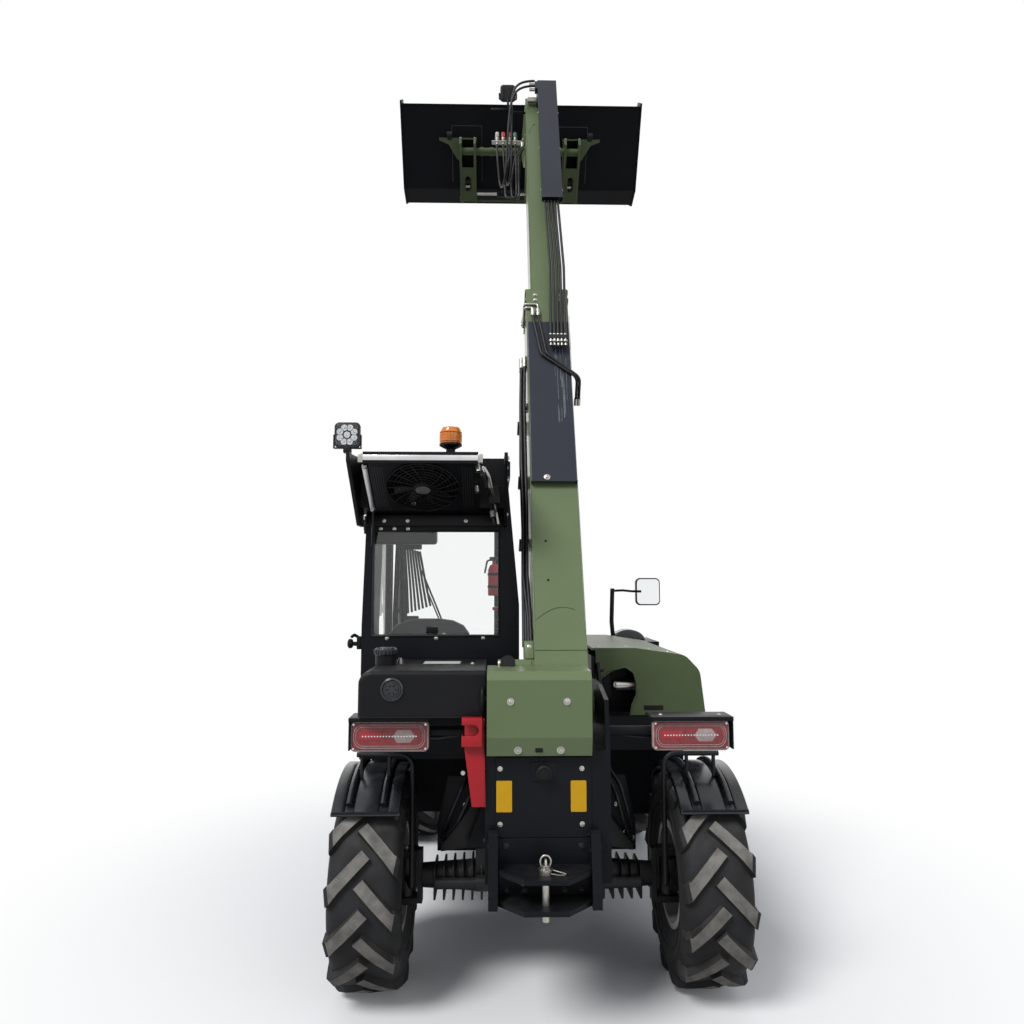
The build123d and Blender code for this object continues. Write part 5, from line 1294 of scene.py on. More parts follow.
def make_cab_top():
    """The rear work lamp, the beacon and the roof's ribs."""
    lights = [(0, 0)] + [(0.036 * math.cos(math.radians(a)),
                          0.036 * math.sin(math.radians(a))) for a in range(22, 360, 45)]
    shape = Shape("cab_work_lamp", "gloss_plastic", "grille_dark", "lamp_reflector", "white_label",
                  "clear_lens", "zinc",
                  "black_paint")
    lamp_head(shape, rearward(-0.907, -0.330, 2.606), 0.122, 0.122, lights)
    shape.box((-0.925, REAR_AXLE_Y - 0.345, 2.521), (-0.889, REAR_AXLE_Y - 0.312, 2.549), "grille_dark",
              0.004)
    for x in (-0.9705, -0.8435):
        shape.box((x - 0.002, REAR_AXLE_Y - 0.342, 2.545), (x + 0.002, REAR_AXLE_Y - 0.316, 2.608),
                  "black_paint", 0.001)
    shape.box((-0.9725, REAR_AXLE_Y - 0.342, 2.5425), (-0.8415, REAR_AXLE_Y - 0.316, 2.5465), "black_paint",
              0.001)
    shape.done("chassis", ["work_lamp"])

    shape = Shape("beacon_light", "black_plastic", "amber_lens", "zinc", "lamp_reflector", "bright_red_lens")
    base = upward(-0.463, 0.400, 2.5503)
    shape.lathe([(0, 0), (0.062, 0), (0.062, 0.012), (0.030, 0.020), (0.026, 0.120), (0.055, 0.135),
                 (0.064, 0.140),
                 (0.064, 0.152), (0, 0.152)], base, "black_plastic", 40)
    shape.lathe([(0.0595, 0.150), (0.0600, 0.158), (0.0620, 0.164), (0.0615, 0.205), (0.0590, 0.228),
                 (0.0500, 0.244),
                 (0.0300, 0.2505), (0, 0.2515), (0, 0.150)], base, "amber_lens", 48)
    for i in range(24):
        rib = base @ Matrix.Rotation(2 * math.pi * i / 24, 4, "Z")
        shape.box((0.0595, -0.0022, 0.166), (0.0634, 0.0022, 0.208), "amber_lens", 0.0008, rib, 1)
    for height in (0.163, 0.214):
        shape.lathe([(0.060, height), (0.0645, height), (0.0645, height + 0.004), (0.060, height + 0.004)],
                    base, "amber_lens", 48,
                    closed=True)
    shape.done("chassis", ["beacon"])

    shape = Shape("roof_details", "black_plastic", "black_paint", "green_dark", "zinc")
    for y in (0.14, 0.26, 0.44):
        shape.box((-0.84, REAR_AXLE_Y + y, 2.5503), (-0.175, REAR_AXLE_Y + y + 0.03, 2.5563), "black_plastic",
                  0.003)
    for x in (-0.70, -0.50, -0.30):
        shape.tube([at(x, 0.50, 2.515), at(x, 1.18, 2.515)], 0.009, "green_dark", 12)
    for y in (0.56, 0.78, 1.00):
        shape.tube([at(-0.765, y, 2.506), at(-0.235, y, 2.506)], 0.009, "green_dark", 12)
    for x, z in ((-0.893, 1.45), (-0.893, 1.58)):
        shape.dome_bolt(sideward(-1, x + 0.0027, 0.09, z), 0.008, "zinc")
    # knob of the door's open latch on the cab's rear corner
    shape.rod(at(-0.890, 0.085, 1.600), at(-0.948, 0.085, 1.603), 0.011, "black_paint", 18)
    shape.lathe([(0, 0), (0.020, 0), (0.024, 0.006), (0.024, 0.018), (0.016, 0.024), (0, 0.024)],
                sideward(-1, -0.940, 0.085, 1.603), "black_plastic", 28)
    shape.box((-0.916, REAR_AXLE_Y + 0.060, 1.575), (-0.8902, REAR_AXLE_Y + 0.110, 1.640), "black_paint",
              0.005)
    shape.tube([at(-0.902, 0.090, 1.630), at(-0.930, 0.075, 1.648), at(-0.938, 0.050, 1.640)], 0.008,
               "black_paint", 12, 0.01)
    shape.done("chassis")


# ---------------------------------------------------------------- cab inside


def cushion(name, low, high, round_edge, body):
    part = bmesh.new()
    bmesh.ops.create_cube(part, size=1.0)
    size = Vector(high) - Vector(low)
    bmesh.ops.scale(part, vec=size, verts=part.verts)
    bmesh.ops.bevel(part, geom=list(part.edges), offset=round_edge, segments=5, profile=0.6, affect="EDGES",
                    clamp_overlap=True)
    bmesh.ops.subdivide_edges(part, edges=list(part.edges), cuts=1, use_grid_fill=True)
    middle = (Vector(high) + Vector(low)) / 2
    bmesh.ops.translate(part, vec=middle, verts=part.verts)
    data = bpy.data.meshes.new(name)
    part.to_mesh(data)
    part.free()
    for face in data.polygons:
        face.use_smooth = True
    data.materials.append(MATERIALS["vinyl"])
    piece = bpy.data.objects.new(name, data)
    bpy.context.collection.objects.link(piece)
    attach(piece, body)
    return piece


def make_cab_inside():
    """The seat, belt reel, levers, screen, wiper, extinguisher and grab rails seen through the glass."""
    base = cushion("seat_cushion", at(-0.815, 0.600, 1.180), at(-0.355, 0.975, 1.288), 0.045, "chassis")
    back = cushion("seat_back", at(-0.815, 0.505, 1.290), at(-0.355, 0.600, 1.640), 0.042, "chassis")
    frame_part = Shape("seat_frame", "vinyl", "black_plastic", "zinc", "red_paint")
    dome = [(-0.235, 0.0), (0.235, 0.0), (0.228, 0.055), (0.195, 0.100), (0.135, 0.128), (0.06, 0.139),
            (-0.06, 0.139),
            (-0.135, 0.128), (-0.195, 0.100), (-0.228, 0.055)]
    frame_part.prism(dome, -0.045, 0.045, "vinyl", 0.020, rearward(-0.585, 0.552, 1.572),
                     4)
    frame_part.box(at(-0.80, 0.5003, 1.20), at(-0.37, 0.510, 1.60), "black_plastic", 0.008)
    frame_part.box(at(-0.70, 0.600, 1.052), at(-0.46, 0.900, 1.178), "black_plastic", 0.012)
    for z in (1.085, 1.110, 1.135):
        frame_part.box(at(-0.705, 0.595, z), at(-0.455, 0.905, z + 0.012), "vinyl", 0.005)
    frame_part.box(at(-0.845, 0.62, 1.30), at(-0.815, 0.86, 1.36), "vinyl", 0.012)
    frame_part.box(at(-0.352, 0.62, 1.30), at(-0.285, 0.92, 1.37), "vinyl", 0.015)
    frame_part.rod(at(-0.318, 0.90, 1.36), at(-0.318, 0.94, 1.48), 0.012, "black_plastic", 16)
    frame_part.lathe([(0, 0), (0.018, 0.004), (0.026, 0.03), (0.022, 0.062), (0, 0.075)],
                     turned(X_AXIS, Vector((0, 0.2, 1)), at(-0.318, 0.938, 1.47)), "black_plastic", 24)
    frame_part.dome_bolt(rearward(-0.50, 0.500, 1.62), 0.008, "zinc")
    frame_part.done("chassis", ["seat"], sharp=40)

    inside = Shape("cab_fittings", "black_plastic", "grille_dark", "green_dark", "red_paint", "zinc",
                   "white_label",
                   "hose_rubber", "black_paint")
    # slatted curtain and wiper by the windscreen's left end
    for i in range(9):
        x = -0.845 + 0.0165 * i
        top = 2.16 - 0.004 * i
        inside.tube([at(x, 1.235, top), at(x + 0.008 + 0.0045 * i, 1.24, 1.90),
                     at(x + 0.010 + 0.008 * i, 1.24, 1.70 + 0.008 * i)],
                    0.0078, "green_dark", 8, 0.1)
    inside.box(at(-0.86, 1.225, 2.14), at(-0.70, 1.255, 2.19), "black_plastic", 0.008)
    inside.box(at(-0.81, 1.225, 1.665), at(-0.715, 1.255, 1.700), "black_plastic", 0.01)
    inside.tube([at(-0.70, 1.25, 2.00), at(-0.62, 1.30, 1.80), at(-0.55, 1.35, 1.62), at(-0.53, 1.37, 1.54)],
                0.006, "grille_dark",
                10, 0.1)
    inside.tube([at(-0.66, 1.25, 1.86), at(-0.58, 1.32, 1.66), at(-0.56, 1.36, 1.54)], 0.005, "grille_dark",
                8, 0.1)
    inside.box(at(-0.86, 1.20, 2.385), at(-0.16, 1.26, 2.455), "black_plastic", 0.010)
    # extinguisher and reservoir on the right wall
    bottle = upward(-0.215, 1.080, 1.835)
    inside.lathe([(0, 0), (0.036, 0), (0.040, 0.006), (0.040, 0.165), (0.028, 0.195), (0.012, 0.205),
                  (0.012, 0.225), (0, 0.225)],
                 bottle, "red_paint", 28)
    inside.box(at(-0.245, 1.060, 2.060), at(-0.195, 1.100, 2.085), "grille_dark", 0.004)
    inside.tube([at(-0.215, 1.06, 2.07), at(-0.26, 1.04, 2.06), at(-0.275, 1.04, 1.98)], 0.006, "hose_rubber",
                10, 0.02)
    for z in (1.885, 1.965):
        inside.lathe([(0.0405, 0), (0.043, 0), (0.043, 0.016), (0.0405, 0.016)],
                     upward(-0.215, 1.080, z), "grille_dark", 28, closed=True)
    inside.box(at(-0.180, 1.065, 1.880), at(-0.120, 1.095, 2.000), "black_paint", 0.004)
    for z in (1.66, 1.72, 1.60):
        inside.rod(at(-0.205, 0.99, z), at(-0.165, 0.99, z), 0.028, "grille_dark", 20)
    inside.box(at(-0.225, 0.95, 1.745), at(-0.160, 1.03, 1.765), "red_paint", 0.005)
    # dashboard: hood, screen and switches
    inside.box(at(-0.70, 1.31, 1.3003), at(-0.46, 1.50, 1.345), "black_plastic", 0.015)
    inside.box(at(-0.32, 1.285, 1.360), at(-0.16, 1.305, 1.470), "black_plastic", 0.006)
    inside.rod(at(-0.24, 1.31, 1.30), at(-0.24, 1.30, 1.38), 0.012, "black_plastic", 14)
    for i in range(6):
        inside.box(at(-0.41 + 0.028 * i, 1.2965, 1.235), at(-0.39 + 0.028 * i, 1.2998, 1.27), "grille_dark",
                   0.002)
    # pillar padding and grab rails
    inside.tube([at(-0.845, 1.262, 1.72), at(-0.825, 1.262, 1.80), at(-0.825, 1.262, 2.20),
                 at(-0.845, 1.262, 2.28)], 0.013,
                "black_plastic", 14, 0.04)
    inside.box(at(-0.852, 0.0853, 2.115), at(-0.514, 0.16, 2.44), "black_plastic", 0.015)
    inside.box(at(-0.47, 0.0853, 2.385), at(-0.185, 0.18, 2.455), "black_plastic", 0.015)
    for x in (-0.80, -0.73, -0.66):
        inside.dome_bolt(rearward(x, 0.0495, 2.222 - 0.03), 0.006, "zinc")
    inside.done("chassis")

    door = Shape("door_fittings", "black_plastic", "grille_dark", "zinc", "hose_rubber")
    door.tube([at(-0.890, 0.79, 1.52), at(-0.860, 0.80, 1.56), at(-0.860, 0.80, 2.28),
               at(-0.890, 0.79, 2.32)], 0.018,
              "black_plastic", 16, 0.04)
    door.box(at(-0.9345, 1.195, 1.40), at(-0.9203, 1.235, 1.56), "grille_dark", 0.005)
    door.rod(at(-0.928, 1.215, 1.42), at(-0.952, 1.215, 1.42), 0.009, "zinc", 16)
    door.tube([at(-0.925, 1.215, 1.53), at(-0.955, 1.215, 1.52), at(-0.955, 1.215, 1.44),
               at(-0.925, 1.215, 1.43)], 0.008,
              "grille_dark", 12, 0.02)
    for y0, y1, z0, z1 in ((0.480, 1.190, 1.500, 2.340), (0.700, 1.190, 0.780, 1.440)):
        loop = [at(-0.9205, y, z) for y, z in ((y0, z0), (y1, z0), (y1, z1), (y0, z1), (y0, z0))]
        door.tube(loop, 0.006, "hose_rubber", 8)
    for z in (1.16, 1.70, 2.24):
        for y in (0.45, 0.462):
            door.dome_bolt(sideward(-1, -0.9403, y, z + (0.015 if y > 0.455 else -0.015)),
                           0.005, "zinc")
    door.done("door")

    seals = Shape("window_seals", "hose_rubber", "zinc", "black_paint")
    loop = [at(x, 0.0495, z) for x, z in ((-0.835, 1.645), (-0.190, 1.645), (-0.190, 2.180), (-0.835, 2.180),
                                          (-0.835, 1.645))]
    seals.tube(loop, 0.007, "hose_rubber", 8)
    for x, z in ((-0.76, 1.632), (-0.51, 1.632), (-0.27, 1.632)):
        seals.dome_bolt(rearward(x, 0.0497, z), 0.006, "zinc")
    seals.box(at(-0.56, 0.040, 1.655), at(-0.50, 0.0575, 1.690), "black_paint", 0.004)
    seals.done("chassis")


# ---------------------------------------------------------------- engine side


def make_engine_side():
    """Hood seams, bolts and latch, tailpipe, side grille and the mirror."""
    # the hood's seam lip uses the green darkened as painted shade
    hood = Shape("hood_details", "green_painted_shade", "zinc", "black_plastic", "grille_dark")
    for x, z in ((0.330, 1.5793), (0.480, 1.5793)):
        hood.dome_bolt(upward(x, 0.16, 1.5772), 0.006, "zinc")
    for x, z, tilt in ((0.60, 1.5660, 0.14), (0.70, 1.5518, 0.14)):
        hood.dome_bolt(turned(X_AXIS, Vector((tilt, 0, 1)), at(x, 0.16, z)), 0.006, "zinc")
    lip = [(0.335, 1.236), (0.335, 1.420), (0.400, 1.465), (0.466, 1.481), (0.510, 1.450), (0.524, 1.400),
           (0.524, 1.340),
           (0.500, 1.290), (0.490, 1.236)]
    hood.tube([at(x, 0.0995, z) for x, z in lip], 0.005, "green_painted_shade", 10, 0.03)
    hood.box(at(0.56, 0.0965, 1.262), at(0.66, 0.0997, 1.285), "black_plastic", 0.003)
    for i in range(9):
        y = 0.42 + 0.075 * i
        hood.prism([(0, 0), (0.060, 0.0), (0.060, 0.008), (0, 0.026)], -0.0, 0.20, "grille_dark", 0.002,
                   turned(Y_AXIS, Vector((-0.11, 0, 1)), at(0.8795, y, 1.25)))
    hood.done("hood")

    bay = Shape("engine_bay_details", "zinc", "hose_rubber", "grille_dark", "exhaust_steel", "black_plastic")
    stub = sideward(1, 0.5303, 0.200, 1.378)
    bay.lathe([(0.0265, -0.10), (0.0285, -0.10), (0.0285, 0.004), (0.0235, 0.004), (0.0235, -0.06),
               (0, -0.06)], stub, "exhaust_steel",
              32)
    for x, z in ((0.385, 1.418), (0.392, 1.345), (0.36, 1.385)):
        bay.dome_bolt(rearward(x, 0.2997, z), 0.007, "zinc")
    for route in (((0.345, 0.10, 1.47), (0.350, 0.16, 1.42), (0.352, 0.18, 1.33), (0.346, 0.16, 1.245)),
                  ((0.320, 0.09, 1.50), (0.328, 0.10, 1.43), (0.330, 0.10, 1.32), (0.326, 0.09, 1.245))):
        bay.tube([at(*place) for place in route], 0.012, "hose_rubber", 12, 0.05)
    bay.box(at(0.34, 0.24, 1.29), at(0.42, 0.2995, 1.44), "grille_dark", 0.006)
    bay.lathe([(0, 0), (0.058, 0), (0.058, 0.030), (0.046, 0.040), (0, 0.042)],
              rearward(0.455, 0.2995, 1.425), "grille_dark", 32)
    for i in range(10):
        bay.box(at(0.8803, 0.68 + 0.085 * i, 0.72), at(0.8843, 0.72 + 0.085 * i, 1.15), "grille_dark", 0.001)
    bay.done("chassis")

    shape = Shape("mirror_details", "black_plastic", "mirror_glass", "zinc", "gloss_plastic")
    head = rearward(0.8315, 1.320, 1.8595)
    shape.prism(rounded_outline(0.168, 0.186, 0.032, 8), -0.030, 0.012, "gloss_plastic", 0.010, head, 3)
    shape.prism(rounded_outline(0.150, 0.168, 0.026, 8), 0.0115, 0.0135, "mirror_glass", 0.0, head)
    shape.tube([at(0.590, 1.320, 1.5303), at(0.590, 1.320, 1.560), at(0.582, 1.320, 1.66),
                at(0.590, 1.320, 1.878)], 0.0145, "black_plastic",
               16, 0.05)
    shape.rod(at(0.578, 1.320, 1.865), at(0.602, 1.320, 1.865), 0.017, "black_plastic", 18)
    shape.tube([at(0.595, 1.320, 1.865), at(0.66, 1.320, 1.868), at(0.72, 1.320, 1.862),
                at(0.79, 1.320, 1.860)], 0.008, "black_plastic",
               12, 0.03)
    shape.rod(at(0.755, 1.320, 1.861), at(0.785, 1.320, 1.861), 0.016, "black_plastic", 16)
    dome = [(0.112 * math.cos(math.radians(a)), 0.075 * math.sin(math.radians(a))) for a in range(0, 181, 12)]
    shape.prism(dome, -0.07, 0.07, "gloss_plastic", 0.022, rearward(0.690, 1.340, 1.5303),
                4)
    shape.done("chassis", ["mirror"])


# ---------------------------------------------------------------- boom


def boom_side(x, u, v, side=-1):
    """A placing on a side of the boom: own x along the boom, own z out from the side."""
    return turned(ALONG_BOOM, X_AXIS * side, on_boom(x, u, v))


def boom_top(x, u, v):
    """A placing on the boom's upper face: own x along the boom, own z out of the face."""
    return turned(ALONG_BOOM, OVER_BOOM, on_boom(x, u, v))


def make_outer_boom_details():
    """Weld seams, bolts, worn marks, base cylinder and side hoses of the outer boom."""
    shape = Shape("outer_boom_details", "green_paint", "zinc", "grille_dark", "black_plastic", "hose_rubber",
                  "green_dark")
    left, right = BOOM_MIDDLE - 0.125, BOOM_MIDDLE + 0.125
    for x in (left + 0.003, right - 0.003):
        seam = [on_boom(x, 0.30 + 0.03 * i, 0.2303) for i in range(27)]
        shape.tube(seam, 0.0034, "green_paint", 8)
    arc = [on_boom(BOOM_MIDDLE - 0.115 + 0.19 * t, 0.30 + 0.12 * math.sin(math.pi * (0.15 + 0.5 * t)), 0.2303)
           for t in [k / 14 for k in range(15)]]
    shape.tube(arc, 0.003, "green_paint", 8)
    shape.tube([on_boom(left + 0.004, 0.205, 0.2303), on_boom(right - 0.004, 0.205, 0.2303)], 0.0032,
               "green_paint", 8)
    for u, x in ((0.775, 0.046), (0.561, 0.052)):
        shape.lathe([(0, 0), (0.0065, 0), (0.0065, 0.0012), (0, 0.0012)], boom_top(x, u, 0.2302),
                    "grille_dark", 18)
    for u in (1.70, 2.05):
        for side, x in ((-1, left - 0.0003), (1, right + 0.0003)):
            shape.lathe([(0, 0), (0.028, 0), (0.028, 0.006), (0, 0.006)], boom_side(x, u, 0.09, side),
                        "green_paint", 28)
            shape.bolt(boom_side(x, u, 0.09, side) @ Matrix.Translation((0, 0, 0.006)), 0.012, "zinc", False)
    # stiffening collar at the mouth
    for low, high in ((2.395, 2.420), (2.462, 2.487)):
        shape.prism([(left - 0.006, -0.076), (right + 0.006, -0.076), (right + 0.006, -0.0705),
                     (left - 0.006, -0.0705)], low, high,
                    "green_paint", 0.0, turned(X_AXIS, ALONG_BOOM, on_boom(0, 0, 0)) @ Matrix.Scale(1, 4))
        for side, x in ((-1, left - 0.0003), (1, right + 0.0003)):
            shape.box((low, -0.150, 0.0), (high, 0.150, 0.006), "green_paint", 0.002,
                      boom_side(x, 0, 0.08, side))
    # wear pad bolts of the mouth
    for u in (2.40, 2.44):
        for x in (BOOM_MIDDLE - 0.07, BOOM_MIDDLE + 0.07):
            shape.bolt(boom_top(x, u, 0.2303), 0.010, "zinc")
    # round end on the valve box, with its band, and the box's lid
    shape.rod(on_boom(-0.150, 0.118, 0.205), on_boom(-0.150, 0.124, 0.300), 0.034, "black_plastic", 28)
    shape.rod(on_boom(-0.150, 0.121, 0.252), on_boom(-0.150, 0.122, 0.266), 0.0355, "grille_dark", 28)
    shape.box((-0.055, -0.08, 0.0003), (0.160, 0.075, 0.006), "green_paint", 0.003,
              boom_top(-0.118, 0.0, 0.2147))
    shape.box((0.166, -0.022, 0.0003), (0.248, 0.020, 0.006), "green_paint", 0.003,
              boom_top(-0.047, 0.0, 0.2147))
    for u, x in ((-0.03, -0.18), (0.145, -0.185), (-0.03, -0.06), (0.225, -0.047)):
        shape.dome_bolt(boom_top(x, u, 0.2210), 0.006, "zinc")
    # hoses up the left side
    for i in range(4):
        x = -0.044 - 0.019 * (i % 2)
        v = 0.150 - 0.034 * (i // 2) - 0.012 * (i % 2)
        run = [on_boom(-0.036 - 0.011 * i, 0.252, 0.190 - 0.018 * i), on_boom(-0.038 - 0.010 * i, 0.40,
                                                                              0.175 - 0.015 * i),
               on_boom(x - 0.004, 0.62, v + 0.01), on_boom(x, 0.90, v),
               on_boom(x - 0.002 * i, 1.30, v + 0.006 * i),
               on_boom(x, 1.72, v - 0.01), on_boom(x + 0.006, 1.96, v)]
        shape.tube(run, 0.0095, "hose_rubber", 12, 0.25)
        shape.rod(on_boom(x + 0.006, 1.95, v), on_boom(x + 0.006, 2.02, v), 0.0125, "zinc", 16)
    for u in (0.92, 1.32, 1.70):
        shape.box((u - 0.012, 0.060, 0.0), (u + 0.012, 0.176, 0.052), "black_plastic", 0.004,
                  boom_side(left - 0.0003, 0, 0.0))
    # end fittings of the silver pipes
    for u in (2.330, 2.358):
        shape.rod(on_boom(-0.038, u, 0.118), on_boom(-0.038, u, 0.070), 0.0105, "zinc", 16)
        shape.rod(on_boom(-0.024, u, 0.088), on_boom(-0.052, u, 0.088), 0.008, "zinc", 14)
    shape.done("outer_boom")

    pipes = Shape("boom_pipes_and_hoses", "zinc", "hose_rubber")
    for high, across in ((2.330, 0.012), (2.358, 0.044)):
        pipes.tube([on_boom(-0.038, high, 0.120), on_boom(-0.038, high, 0.240), on_boom(across, high, 0.240),
                    on_boom(across, 2.300, 0.2433)], 0.0065, "zinc", 14, 0.02)
        pipes.rod(on_boom(across, 2.312, 0.2433), on_boom(across, 2.262, 0.2433), 0.013, "zinc", 18)
        side = 0.250 + (across - 0.012) / 2
        pipes.tube([on_boom(across, 2.265, 0.2433), on_boom(across, 2.222, 0.273),
                    on_boom(across + 0.040, 1.950, 0.273),
                    on_boom(side, 1.780, 0.273), on_boom(side, 1.700, 0.150)], 0.008, "hose_rubber", 14, 0.05)
        pipes.rod(on_boom(side, 1.712, 0.168), on_boom(side, 1.690, 0.134), 0.011, "zinc", 16)
    pipes.done("outer_boom", ["boom_pipes"])

    cover = Shape("boom_cover_details", "cover_skin", "zinc", "green_paint", "scuff")
    cover.dome_bolt(boom_top(0.062, 1.132, 0.2623), 0.0105, "zinc")
    cover.box((1.106, -0.123, 0.0), (1.112, 0.123, 0.0012), "cover_skin", 0.0,
              boom_top(BOOM_MIDDLE, 0, 0.2623))
    for x in (BOOM_MIDDLE - 0.119, BOOM_MIDDLE + 0.119):
        cover.box((1.109, -0.0012, 0.0), (2.199, 0.0012, 0.0008), "scuff", 0.0, boom_top(x, 0, 0.2621))
    random.seed(4)
    for i in range(26):
        x = BOOM_MIDDLE + 0.035 + 0.075 * random.random()
        start = 1.45 + 0.65 * random.random()
        length = 0.05 + 0.26 * random.random()
        cover.box((start, -0.0007 - 0.0008 * random.random(), 0.0), (start + length, 0.0007, 0.0002), "scuff",
                  0.0,
                  boom_top(x, 0, 0.2622) @ Matrix.Rotation(0.03 * (random.random() - 0.5), 4, "Z"))
    cover.done("outer_boom")


def make_inner_boom_details():
    """The guard's ends and bolts, hose ferrules, red-capped couplers and the lamp at the boom's head."""
    shape = Shape("inner_boom_details", "green_paint", "zinc", "grille_dark", "black_plastic", "hose_rubber",
                  "cover_skin")
    for u in (3.30, 3.72, 4.10):
        for side, x in ((-1, 0.0877), (1, 0.2233)):
            shape.dome_bolt(boom_side(x, u, 0.297, side), 0.006, "zinc")
    shape.box((3.196, -0.070, 0.0), (3.204, 0.070, 0.004), "cover_skin", 0.001, boom_top(0.1555, 0, 0.3252))
    for across in (0.108, 0.129, 0.150, 0.171, 0.192):
        shape.rod(on_boom(across, 2.068, 0.302), on_boom(across, 2.012, 0.302), 0.0108, "zinc", 16)
        shape.rod(on_boom(across, 2.002, 0.302), on_boom(across, 1.985, 0.302), 0.0085, "zinc", 14)
        shape.rod(on_boom(across, 3.225, 0.302), on_boom(across, 3.175, 0.302), 0.0100, "grille_dark", 16)
    shape.box((3.205, -0.062, 0.0), (3.232, 0.062, 0.030), "grille_dark", 0.004, boom_top(0.150, 0, 0.291))
    # seam and pad marks of the inner boom's face
    for x in (BOOM_MIDDLE - 0.092, BOOM_MIDDLE + 0.092):
        shape.tube([on_boom(x, 2.50 + 0.1 * i, 0.1952) for i in range(17)], 0.003, "green_paint", 8)
    arc = [on_boom(BOOM_MIDDLE - 0.075 + 0.09 * t, 4.02 + 0.10 * math.sin(math.pi * t),
                   0.1953) for t in [k / 12 for k in range(13)]]
    shape.tube(arc, 0.003, "green_paint", 8)
    # sheave block and hose ends at the head
    shape.box((4.300, -0.088, 0.0003), (4.405, 0.000, 0.050), "grille_dark", 0.008,
              boom_top(0.085, 0, 0.1953))
    shape.rod(on_boom(0.02, 4.355, 0.222), on_boom(0.082, 4.355, 0.222), 0.020, "zinc", 22)
    for across, u in ((0.1, 4.36), (0.1, 4.42)):
        shape.rod(on_boom(0.0697, u - 0.0, 0.2975), on_boom(0.030, u, 0.2975), 0.0110, "zinc", 16)
    # tilt pin, head plates' bosses and grease points
    for side, x in ((-1, 0.0047), (1, 0.1953)):
        pin = boom_side(x, 4.150, 0.050, side)
        shape.lathe([(0, 0), (0.040, 0), (0.040, 0.008), (0.024, 0.012), (0, 0.012)], pin, "green_paint", 28)
        shape.bolt(pin @ Matrix.Translation((0, 0, 0.012)), 0.010, "zinc", False)
        hub = turned(ALONG_BOOM, X_AXIS * side, Vector((x, 0, 0)) + HITCH)
        shape.lathe([(0.034, 0), (0.052, 0), (0.052, 0.004), (0.034, 0.004)], hub, "green_paint", 32,
                    closed=True)
    shape.done("inner_boom")

    caps = Shape("coupler_details", "zinc", "red_paint", "green_fitting", "hose_rubber", "grille_dark")
    for i, x in enumerate((-0.200, -0.155, -0.110, -0.065)):
        finish = "red_paint" if i in (1, 2) else ("green_fitting" if i == 3 else "zinc")
        caps.lathe([(0, 0), (0.0175, 0), (0.0175, 0.012), (0.0150, 0.016), (0.0150, 0.050), (0.0100, 0.056),
                    (0, 0.056)],
                   turned(X_AXIS, ALONG_BOOM, on_boom(x, 4.2622, -0.019)), finish, 28)
        caps.lathe([(0.0142, 0), (0.0165, 0), (0.0165, 0.012), (0.0142, 0.012)],
                   turned(X_AXIS, ALONG_BOOM, on_boom(x, 4.230, -0.019)), "zinc", 28, closed=True)
        caps.tube([on_boom(x + 0.012, 4.300, -0.035), on_boom(x + 0.022, 4.270, -0.050),
                   on_boom(x + 0.016, 4.225, -0.040)], 0.0028,
                  "grille_dark", 8, 0.02)
        head = [(0.0125 * math.cos(math.radians(a)), 0.0125 * math.sin(math.radians(a))) for a in range(0,
                360, 60)]
        caps.prism(head, 0.0, 0.014, "zinc", 0.001, turned(X_AXIS, ALONG_BOOM, on_boom(x, 4.188, -0.019)))
    # each loop returns beside the outer boom's wall, and joins the inner boom ahead of where
    # the outer boom ends with the boom run in
    for x, back in ((-0.110, -0.062), (-0.065, -0.044)):
        port = -0.012 + 0.1 * (x + 0.065)
        caps.tube([on_boom(x, 4.180, -0.019), on_boom(x, 4.06, -0.019), on_boom(x - 0.035, 3.80, -0.030),
                   on_boom(x - 0.030, 3.64, -0.040), on_boom(back, 3.62, -0.035), on_boom(back, 3.90, 0.0),
                   on_boom(back, 4.01, 0.010), on_boom(port, 4.085, 0.018), on_boom(port, 4.12, 0.020)],
                  0.008, "hose_rubber", 12, 0.03)
        caps.rod(on_boom(port, 4.105, 0.019), on_boom(port, 4.15, 0.023), 0.0105, "zinc", 16)
    caps.done("inner_boom")

    lamp = Shape("boom_head_lamp", "gloss_plastic", "grille_dark", "lamp_reflector", "white_label",
                 "clear_lens", "zinc",
                 "black_paint")
    cells = [(x, y) for x in (-0.028, 0.028) for y in (-0.028, 0.028)]
    face = turned(X_AXIS, Vector((0, 0.9, 0.44)), on_boom(-0.122, 4.455, 0.205))
    lamp_head(lamp, face, 0.112, 0.112, cells)
    lamp.tube([on_boom(-0.184, 4.460, 0.20), on_boom(-0.184, 4.388, 0.20), on_boom(-0.060, 4.388, 0.20),
               on_boom(-0.060, 4.460, 0.20)],
              0.006, "black_paint", 12, 0.02)
    lamp.box((4.375, -0.030, -0.004), (4.392, 0.030, 0.004), "black_paint", 0.001, boom_top(-0.122, 0, 0.20))
    lamp.tube([on_boom(-0.122, 4.388, 0.20), on_boom(-0.122, 4.330, 0.19), on_boom(-0.110, 4.322, 0.172)],
              0.009, "black_paint", 12, 0.02)
    lamp.box((4.312, 0.0, -0.004), (4.330, 0.125, 0.004), "black_paint", 0.001,
             boom_top(-0.122, 0, 0.17) @ Matrix.Rotation(0, 4, "Z"))
    lamp.tube([on_boom(-0.118, 4.315, 0.195), on_boom(-0.09, 4.29, 0.17), on_boom(-0.03, 4.30, 0.16),
               on_boom(0.003, 4.31, 0.15)], 0.008,
              "black_paint", 10, 0.03)
    lamp.done("inner_boom", ["boom_lamp"])


# ---------------------------------------------------------------- carriage and bucket


